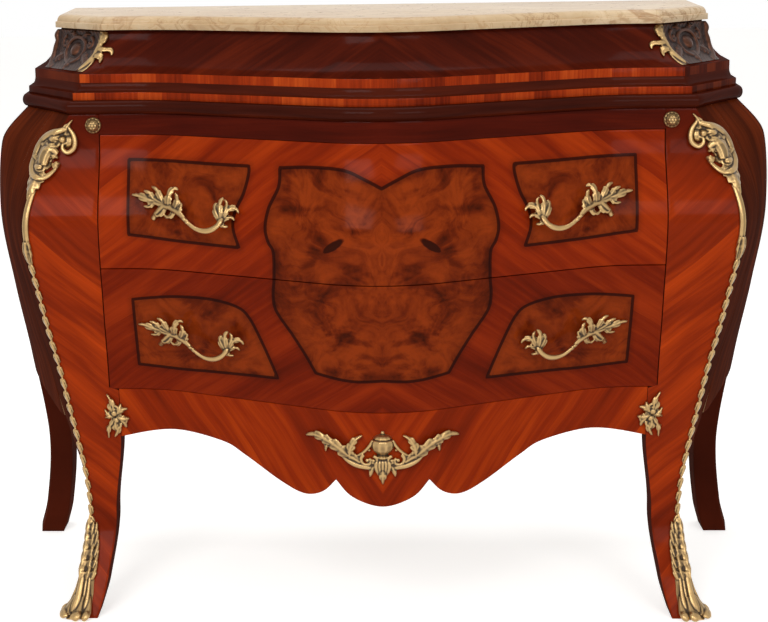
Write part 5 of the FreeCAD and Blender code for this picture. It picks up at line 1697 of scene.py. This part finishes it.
@dataclass
class Mounts:
    """All the cast brass.

    Attributes:
        finishes: the materials.
        hollow: outsets and heights down the hollow of the frieze.
        handle_tips: middle distance and height of each drawer's outer handle tips.
    """

    finishes: Finishes
    hollow: Sequence[Point]
    handle_tips: tuple[tuple[str, float, float], ...] = (("upper", 355.0, 634.0),
                                                         ("lower", 354.0, 442.0))

    @property
    def plain(self) -> Layer:
        """Bright brass on every face."""
        return self.finishes.brass, everywhere

    def handle(self, side: Side, drawer: str, tip: float, level: float) -> None:
        """One branch handle: a leafy spray, a drooping bar and a crown of leaves at its inner foot."""
        ground = on_front(side)
        casting = Casting(f"{drawer}_branch_handle_{side.word}",
                          lambda along, drop, off: ground(tip - along, level + drop, off))
        casting.rod(((2, -1, 2.5, 1.2), (20, -4, 5, 2.2), (40, -11, 9, 3), (57, -14, 14, 3.8),
                     (73, -21, 20, 4), (82, -29, 23, 3), (95, -38, 25, 3), (107, -41, 25, 3.8),
                     (118, -39, 25, 4), (127, -33.5, 23, 3.6), (132, -27, 20, 4), (133, -22, 15, 4.4)),
                    steps=8)
        casting.rod(((47, -13, 11, 3.6), (38, -22, 7, 3.4), (31.7, -32, -0.8, 4.4)))
        casting.rod(((133, -23, 15, 4.4), (133, -30, 9, 4.2), (132.5, -34, -0.8, 4.8)))
        for along, drop in ((79, -26.5), (84, -31), (89.5, -35), (95.5, -38)):
            casting.bead(along, drop, 24, 3.6, 0.7)
        leaves = (
            (3, (38, -8, 8, 5), (24, -5, 8, 7.5), (10, -1, 5, 4.5), (0, 0, 2.5, 1)),
            (3, (56, -13, 10, 5), (44, -9, 10, 8), (31, -3, 8, 5.5), (22, 2, 6, 1.2)),
            (2, (33, -5, 8, 3.6), (27, 3, 10, 4.2), (18, 6, 8, 1.2)),
            (2, (34, -8, 7, 3.4), (27, -15, 7, 3.6), (18, -15, 5, 1.2)),
            (2, (46, -8, 9, 4), (41, 2, 12, 5), (36, 9, 12, 3.6), (29, 12, 9, 1.2)),
            (3, (55, -13, 13, 5), (55, -3, 18, 6), (58, 7, 20, 5), (64, 12, 19, 3.4), (70, 10, 16, 1.4)),
            (2, (64, -16, 17, 5), (68, -7, 20, 5.5), (68, 1, 20, 3.8), (65, 6, 18, 1.2)),
            (2, (70, -20, 19, 4), (74, -12, 20, 4), (75, -6, 18, 1.2)),
            (2, (50, -14, 11, 4.2), (45, -23, 10, 4.4), (38, -27, 8, 3.2), (33, -23, 6, 1.2)),
            (2, (63, -17, 15, 4.2), (60, -25, 13, 4), (53, -28, 11, 3), (48, -24, 9, 1.2)),
            (2, (131, -25, 19, 4.4), (126, -16, 22, 5), (124, -8, 21, 3.4), (127, -3, 18, 1.2)),
            (2, (132, -24, 19, 4.6), (131, -11, 22, 5.4), (132, -1, 21, 3.8), (137, 4, 18, 1.2)),
            (2, (134, -24, 17, 4), (139, -13, 19, 4.8), (141, -4, 17, 3.4), (138, 1, 15, 1.2)),
            (3, (133, -23, 17, 4.4), (139, -14, 18, 5.6), (148, -9, 15, 5), (155, -11, 12, 3.4),
             (158, -16, 10, 1.2)),
            (2, (134, -26, 16, 4), (141, -22, 15, 4), (148, -22, 12, 3), (152, -26, 9, 1.2)),
            (2, (132, -28, 17, 3.8), (136, -34, 15, 3.6), (143, -34, 12, 1.2)))
        for lobes, *knots in leaves:
            casting.leaf(knots, lobes)
        casting.fuse(f"{drawer}_drawer", f"{drawer}_handle_{side.word}", self.plain)

    def apron_centre(self) -> None:
        """Urn with scroll arms and leaves in the middle of the apron."""
        casting = Casting("apron_urn", lambda x, z, off: (x, CASE.front(x, z) - off, z))
        casting.rod(((0, 311, 0, 1), (0, 309, 0, 2.8), (0, 306.5, 0, 3), (0, 305, 0, 9), (0, 301, 0, 13.5),
                     (0, 299, 0, 12.4), (0, 297.5, 0, 15.5), (0, 292, 0, 17), (0, 284, 0, 15.4),
                     (0, 278.5, 0, 10), (0, 276, 0, 7.5), (0, 273, 0, 11), (0, 270, 0, 9)), steps=3)
        for i in range(-2, 3):
            casting.rod(((3 * i, 270, 4, 2.4), (4.6 * i, 262, 7, 3.2), (3.8 * i, 252, 6, 2.6),
                         (2.4 * i, 244, 2, 1)))
        casting.leaf(((0, 257, 6, 7), (0, 245, 8, 6.5), (0, 231.5, 2, 1)), 3)
        for turn in (1, -1):
            casting.rod(((14 * turn, 298, 5, 2), (18.5 * turn, 290, 6, 2.4), (26 * turn, 281, 5, 2.3),
                         (35 * turn, 274, 4, 2.2)))
            casting.scroll(22 * turn, 268, 5, (10, 4), 60 if turn > 0 else 120, -0.8 * turn, (3.2, 2.2))
            casting.scroll(13 * turn, 268, 6, (7, 3), 90, 0.6 * turn, (2.6, 2))
            casting.rod(((12 * turn, 257, 3, 3.6), (24 * turn, 258, 5, 4), (38 * turn, 261, 6, 3.8),
                         (52 * turn, 269, 6, 3), (64 * turn, 284, 4, 1.2)))
            casting.leaf(((9 * turn, 264, 5, 5), (15 * turn, 255, 6, 5.5), (18 * turn, 243, 3, 1)), 2)
            casting.leaf(((32 * turn, 265, 5, 5), (50 * turn, 276, 7, 9), (68 * turn, 289, 8, 9.5),
                          (84 * turn, 297, 7, 5)), 4, 2.4)
            casting.leaf(((70 * turn, 289, 7, 5), (84 * turn, 297, 8, 8.5), (97 * turn, 300, 6, 6),
                          (109 * turn, 297, 3, 1.2)), 3, 2.2)
            casting.leaf(((47 * turn, 270, 6, 6), (46 * turn, 284, 9, 7), (40 * turn, 297, 8, 5.5),
                          (28.5 * turn, 305, 4, 1.2)), 4, 2)
            casting.leaf(((76 * turn, 292, 5, 4.5), (80 * turn, 284, 6, 4), (80.5 * turn, 276, 3, 1)), 2)
            casting.bead(19 * turn, 283, 3, 2.4)
        casting.fuse("carcass", "apron_centre_mount", self.plain)

    def apron_corner(self, side: Side) -> None:
        """Leaf spray over the joint of apron and post."""
        casting = Casting(f"apron_corner_spray_{side.word}", on_front(side))
        heart = Vector((397.0, 295.0))
        tips = ((408.5, 330, 4.6), (400, 322, 6), (388, 315, 7), (378, 307, 6), (375.6, 292, 7.5),
                (381, 277, 7), (391, 268, 7), (399, 262, 5.5), (408, 260.5, 4), (412, 277, 4),
                (413, 292, 4), (412, 306, 4))
        for number, (x, z, half) in enumerate(tips):
            run = Vector((x, z)) - heart
            bend = Vector((run.y, -run.x)) * (0.16 if number % 2 else -0.1)
            middle = heart + run * 0.55 + bend
            casting.leaf(((*(heart + run * 0.1), 4, half * 0.8), (*middle, 6.5 - number % 2, half),
                          (x, z, 2, 1.2)), 3)
        for x, z, radius in ((398, 300, 5.5), (395, 289, 5), (402, 310, 3.4), (391, 296, 3.6),
                             (403, 285, 3.4)):
            casting.bead(x, z, 3.5, radius)
        casting.scroll(397, 307, 6, (6, 2), 200, -0.8, (2.2, 1.6))
        casting.scroll(394, 282, 6, (6, 2), 150, 0.8, (2.2, 1.6))
        casting.fuse("carcass", f"apron_corner_mount_{side.word}", self.plain)

    def rosette(self, side: Side) -> None:
        """Round rosette of petals over the head of the stile."""
        casting = Casting(f"petal_rosette_{side.word}", on_front(side), 0.0006)
        x, z = 412.0, 729.5
        casting.scroll(x, z, 0.8, (9, 9), 0, 1.0, (3.0, 3.0))
        casting.bead(x, z, 0.5, 10)
        for count, reach, off, radius in ((12, 9, 1.8, 2.7), (6, 4.2, 8, 2.2)):
            for angle in (math.tau * i / count for i in range(count)):
                casting.bead(x + reach * math.cos(angle), z + reach * math.sin(angle), off, radius)
        casting.bead(x, z, 9, 2.4)
        casting.fuse("carcass", f"rosette_{side.word}", self.plain)

    def shoulder(self, side: Side) -> None:
        """Rocaille mount over the top of the front corner."""
        casting = Casting(f"rocaille_shoulder_{side.word}", over_shoulder(side))
        casting.leaf(((452, 716, 3, 8), (450, 726, 5, 5), (441, 738, 2, 0.6)), 3)
        casting.rod(((447, 727, 4, 2.4), (440, 717, 6, 3.4), (437.5, 706, 7, 3.8), (440, 697, 7, 3.8),
                     (449, 692, 6, 3.6), (456, 697, 6, 3), (455, 704, 6, 2.2), (450, 705, 6, 1.8)))
        casting.rod(((450, 725, 5, 3), (462, 721, 8, 3.8), (474, 715, 8, 4), (484, 707, 7, 3.8),
                     (491, 696, 7, 3.8), (495, 684, 7, 3.6), (497, 672, 8, 4), (493, 662, 8, 4),
                     (484, 658, 8, 3.8), (473, 663, 7, 3.4), (460, 675, 4, 1.4)))
        casting.rod(((450, 724, -3, 6), (461, 715, -4, 11), (472, 705, -4, 13), (480, 692, -5, 14),
                     (484, 678, -5, 14), (480, 667, -4, 10)))
        casting.bead(449, 707, -5, 12)
        casting.rod(((464, 690, 5, 5), (472, 697, 7, 6), (478, 688, 7, 6), (482, 676, 6, 5)))
        casting.scroll(466, 706, 5, (9, 3), 20, 0.9, (3, 1.8))
        casting.scroll(485, 673, 6, (9, 4), 120, -0.9, (2.6, 1.8))
        casting.bead(485, 673, 10, 3.6)
        casting.bead(456, 710, 6, 5)
        casting.bead(481, 703, 5, 4.4)
        for x, z, tip_x, tip_z in ((470, 709, 459, 716), (476, 700, 462, 700), (474, 690, 462, 684),
                                   (470, 672, 459, 677), (486, 664, 478, 655), (490, 680, 498, 690)):
            casting.leaf(((x, z, 6, 5), ((x + tip_x) / 2, (z + tip_z) / 2 + 1, 9, 5.5),
                          (tip_x, tip_z, 5, 1.2)), 3)
        casting.leaf(((486, 664, 5, 9), (492, 652, 7, 9), (499, 640, 6, 6), (503, 628, 3, 1.5)), 4)
        casting.leaf(((500, 668, 2, 7), (503, 650, 4, 6), (505, 634, 2, 1)), 3)
        casting.fuse("carcass", f"shoulder_mount_{side.word}", self.plain)

    def band(self, side: Side) -> None:
        """Round band down the corner that turns into a chain of husks."""
        high, low, pitch = 640.0, 128.0, 20.0
        casting = Casting(f"husk_band_{side.word}", round_corner(side, 3.0))
        knots = [(0, level, 1.4, 4.3) for level in (high, 620, 600, 580, 566)]
        casting.rod((*knots, (0, 556, 2, 5.4), (0, 544, 2, 4.4), (0, 534, 1.6, 2)), steps=5)
        for turn in (-1, 0, 1):
            casting.leaf(((2.2 * turn, 568, 4, 2.2), (3.4 * turn, 554, 6, 2.8),
                          (2.6 * turn, 536, 3, 0.5)), 3)
        level = 536.0
        while level - pitch > low:
            casting.rod(((0, level, 1.2, 1.3), (0, level - 5, 1.8, 2.8), (0, level - 11, 2, 3.3),
                         (0, level - 17, 1.6, 2.1), (0, level - pitch, 1.2, 1.3)), 5, 0.35, 4)
            for turn in (-1, 1):
                casting.leaf(((1.2 * turn, level - 2, 3, 1.5), (2.7 * turn, level - 8, 3.6, 1.8),
                              (3.2 * turn, level - 15, 1.8, 0.6)), 2, 0.8, 1.8)
            level -= pitch
        casting.fuse("carcass", f"corner_band_{side.word}", self.plain)

    def sabot(self, side: Side) -> None:
        """Paw sabot: toes on the floor, a fluted instep and a cuff of overlapping leaves."""
        casting = Casting(f"paw_sabot_{side.word}", round_corner(side, 7.0))
        edges = ((0, 27), (20, 25), (45, 20), (60, 18.5), (90, 15), (112, 10), (130, 6), (137, 2.5))
        heights, reaches = [edge[0] for edge in edges], [edge[1] for edge in edges]

        def skin(across: float, up: float, through: float) -> Vector:
            """Front edge to side edge, floor to cuff, outside to wood: fluted below and rough above."""
            z = 0.8 + 136 * up
            reach, span = float(np.interp(z, heights, reaches)), 2 * across - 1
            flute = 1.1 * math.cos(math.pi * 5 * span) * eased((62 - z) / 12) * eased((z - 12) / 10)
            rim = 2.6 + 1.6 * (1 - span * span) + 3.5 * eased((16 - z) / 16)
            return casting.spot(span * reach, z, (rim + flute) * (1 - through) - casting.sunk * through)

        casting.parts.append(Bench.panel("skin", 44, 70, skin))
        for run in (-22, -9, 5, 18):
            casting.rod(((run * 0.8, 30, 3, 3), (run * 0.95, 18, 6, 5), (run, 9, 9, 7),
                         (run, 7.6, 13, 5.5)))
            casting.bead(run, 7.5, 13, 6.6)
        for run in (-16, -3, 11):
            casting.rod(((run * 0.7, 60, 4, 1.6), (run * 0.85, 40, 5, 2.4), (run, 22, 7, 3.4),
                         (run, 12, 8, 2.4)))
        for z in (62, 76, 90, 104, 116):
            reach = float(np.interp(z, heights, reaches))
            for share in (-0.9, -0.45, 0, 0.45, 0.9):
                run = share * reach
                casting.leaf(((run * 0.9, z - 9, 3.5, 3.6), (run * 1.05, z + 2, 6.5, 4.2),
                              (run * 1.12, z + 13, 4, 0.6)), 2)
        casting.leaf(((0, 118, 3, 4), (0, 128, 5, 4), (0, 140, 2.5, 0.6)), 3)
        casting.fuse("carcass", f"paw_sabot_{side.word}", self.plain)

    def frieze(self, side: Side) -> None:
        """Cartouche over the canted corner of the frieze, its brass darkened as painted shade apart from
        the bright scroll down its edge.
        """
        width = math.dist(CASE.top_corner(0), CASE.side_corner(0))
        casting = Casting(f"frieze_cartouche_{side.word}", in_frieze(side, self.hollow), 0.0009)
        for start, lean in ((3.0, 1), (width - 5.0, -1)):
            casting.rod(((start, 857, 2, 3.4), (start - 2 * lean, 850, 3, 5.6), (start + lean, 842, 3, 4.4),
                         (start + 2 * lean, 834, 4, 4.8), (start + 3 * lean, 826, 4, 4.4),
                         (start + 6 * lean, 818, 4, 5), (start + 12 * lean, 810, 4, 4.4),
                         (start + 20 * lean, 806, 3, 2.4)))
        casting.rod(((4, 834, 4, 3.4), (-5, 833, 4, 3.4), (-12, 833, 4, 3.4), (-17, 829, 3, 2.4),
                     (-18, 825, 2, 1.4)))
        casting.leaf(((2, 826, 5, 4), (-5, 822, 5, 4), (-9, 815, 3, 1.2)), 2)
        middle, level = width / 2, 831.0

        def skin(across: float, up: float, through: float) -> Vector:
            """Backing plate, its face faintly hammered."""
            run, z = 3 + (width - 6) * across, 803.5 + 54.5 * up
            dents = 0.4 * math.sin(run * 0.9) * math.sin(z * 0.8 + run * 0.2)
            return casting.spot(run, z, (2.2 + dents) * (1 - through) - 0.6 * through)

        casting.parts.append(Bench.panel("plate", 90, 40, skin))
        ring = [(middle + 25 * math.cos(turn), level + 17 * math.sin(turn), 3.5, 3.2)
                for turn in np.linspace(0, math.tau, 25)]
        casting.rod(ring, steps=2)
        casting.bead(middle, level, -2, 13, 0.8)
        for way in (1, -1):
            casting.scroll(middle + 33 * way, level + 9, 3, (9, 3), 90, -0.9 * way, (3, 1.8))
            casting.leaf(((middle + 24 * way, level - 6, 3, 5), (middle + 38 * way, level - 12, 5, 7),
                          (middle + 50 * way, level - 20, 3, 0.8)), 4)
            casting.leaf(((middle + 8 * way, level + 14, 3, 5), (middle + 16 * way, level + 21, 4, 5),
                          (middle + 27 * way, level + 22, 3, 0.8)), 3)
        casting.leaf(((middle, level - 12, 4, 8), (middle, level - 20, 6, 7),
                      (middle, level - 27, 3, 0.8)), 3)
        scroll_width = 15.0

        def bright(centre: Vector, normal: Vector) -> bool:
            """Take the scroll at the front end of the cant, which keeps the plain brass; the rest takes the
            painted shade.
            """
            _, start, along = cant_at(self.hollow, centre.z / MM)
            return (Vector((side * centre.x, centre.y)) / MM - start).dot(along) < scroll_width

        # The cartouche past the scroll takes the darker brass, painted shade.
        casting.fuse("carcass", f"frieze_mount_{side.word}", (self.finishes.brass, bright),
                     (self.finishes.patina, everywhere))

    def build(self) -> None:
        """Cast every mount."""
        self.apron_centre()
        for side in Side:
            for drawer, tip, level in self.handle_tips:
                self.handle(side, drawer, tip, level)
            self.apron_corner(side)
            self.rosette(side)
            self.shoulder(side)
            self.band(side)
            self.sabot(side)
            self.frieze(side)


# ---- the room

@dataclass(frozen=True)
class SoftBox:
    """One soft lamp.

    Attributes:
        name: the lamp's name.
        where, aim: its place and the point that it faces, in metres.
        size: its width and height, in metres.
        watts: its power.
    """

    name: str
    where: Spot
    aim: Spot
    size: Point
    watts: float

    def hang(self) -> None:
        """Hang the lamp and turn it to its aim."""
        bpy.ops.object.light_add(type="AREA", location=self.where)
        lamp = bpy.context.object
        lamp.name = self.name
        lamp.data.shape, lamp.data.energy = "RECTANGLE", self.watts
        lamp.data.size, lamp.data.size_y = self.size
        lamp.rotation_euler = (Vector(self.aim) - Vector(self.where)).to_track_quat("-Z", "Y").to_euler()


@dataclass(frozen=True)
class Studio:
    """Camera, floor and lamps.

    Attributes:
        eye: the camera's place, in metres.
        pitch, yaw, roll: its turns, in degrees.
        lens, sensor: its focal length and its sensor's width, in millimetres.
        shift: how far its frame lies off the lens's axis, as shares of the frame's width.
        air: strength of the even light all round.
        lamps: the soft boxes.
    """

    eye: Spot = (-0.0157, -2.6288, 0.9999)
    pitch: float = 12.238
    yaw: float = -2.366
    roll: float = -0.852
    lens: float = 83.085
    sensor: float = 36.0
    shift: Point = (0.1106, 0.0038)
    air: float = 0.42
    lamps: tuple[SoftBox, ...] = (SoftBox("key_box", (-1.4, -3.7, 3.0), (0, 0, 0.45), (1.8, 1.8), 78.0),
                                  SoftBox("fill_box", (1.7, -3.5, 2.3), (0, 0, 0.45), (1.6, 1.6), 38.0),
                                  SoftBox("top_box", (0.0, 0.6, 3.4), (0, 0, 0.6), (2.2, 1.6), 34.0))

    def camera(self) -> None:
        """Place the camera."""
        bpy.ops.object.camera_add(location=self.eye)
        camera = bpy.context.object
        camera.data.lens, camera.data.sensor_width = self.lens, self.sensor
        camera.data.shift_x, camera.data.shift_y = self.shift
        camera.data.clip_end = 60.0
        turn = Matrix.Rotation(math.radians(-self.yaw), 3, "Z") @ Matrix.Rotation(
            math.radians(90 - self.pitch), 3, "X") @ Matrix.Rotation(math.radians(self.roll), 3, "Z")
        camera.rotation_euler = turn.to_euler()
        bpy.context.scene.camera = camera

    def floor(self) -> None:
        """Lay a pale floor that stays white to the eye and keeps the shadow."""
        bpy.ops.mesh.primitive_plane_add(size=30.0, location=(0, 0, 0))
        floor = bpy.context.object
        floor.name = "studio_floor"
        recipe = Recipe("pale_floor")
        shade = recipe.noise(recipe.point(*recipe.axes()), 0.4)
        colour = recipe.mix(shade, (228, 227, 225), (236, 235, 234))
        floor.data.materials.append(recipe.finish({
            "Base Color": colour, "Roughness": 0.8, "Specular IOR Level": 0.1,
            "Emission Color": tint(255, 254, 252), "Emission Strength": recipe.seen() * 0.63}))
        floor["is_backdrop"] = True

    def world(self) -> None:
        """Fill the room with even light, white where it is seen."""
        world = bpy.data.worlds.new("studio_air")
        bpy.context.scene.world = world
        world.use_nodes = True
        mixing = Mixing(world.node_tree)
        air = mixing.node("ShaderNodeBackground", inputs={"Color": (1, 1, 1, 1), "Strength": self.air})
        back = mixing.node("ShaderNodeBackground", inputs={"Color": (1, 1, 1, 1), "Strength": 1.0})
        either = mixing.node("ShaderNodeMixShader", inputs={0: mixing.seen(), 1: air.outputs[0],
                                                            2: back.outputs[0]})
        mixing.node("ShaderNodeOutputWorld", inputs={0: either.outputs[0]})

    def build(self) -> None:
        """Set the room up."""
        bpy.context.scene.view_settings.view_transform = "Standard"
        self.camera()
        self.floor()
        self.world()
        for lamp in self.lamps:
            lamp.hang()


def dress_plain_nodes(frame: dict[str, Any], finishes: Finishes) -> None:
    """Give the pieces that keep their own solid their material.

    Args:
        finishes: the materials.
    """
    plain = {"marble_top": finishes.marble, "screws": finishes.steel}
    plain |= dict.fromkeys(("mount", "band", "sabot", "rosette", "handle"), finishes.brass)
    plain |= dict.fromkeys(("side_left", "side_right", "runner"), finishes.lining[1])
    plain |= dict.fromkeys(("drawer_back", "drawer_bottom"), finishes.lining[0])
    for name, node in frame["nodes"].items():
        material = next((finish for word, finish in plain.items() if word in name), finishes.carcass)
        node.data.materials.clear()
        node.data.materials.append(material)


def main() -> None:
    """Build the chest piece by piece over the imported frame."""
    logging.basicConfig(level=logging.INFO, format="%(name)s %(message)s")
    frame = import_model()
    SOLID_BOX[:] = [list(corner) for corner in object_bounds()]
    finishes = Finishes()
    Studio().build()
    dress_plain_nodes(frame, finishes)
    Carcass(finishes).build()
    cornice = Cornice(finishes)
    cornice.build()
    MarbleTop(finishes).build()
    DrawerFront(finishes, "upper", CASE.split, CASE.opening_top, UPPER_PANEL).build()
    DrawerFront(finishes, "lower", CASE.knee, CASE.split, LOWER_PANEL).build()
    Mounts(finishes, cornice.profile(Moulding.FRIEZE)).build()


if __name__ == "__main__":
    main()
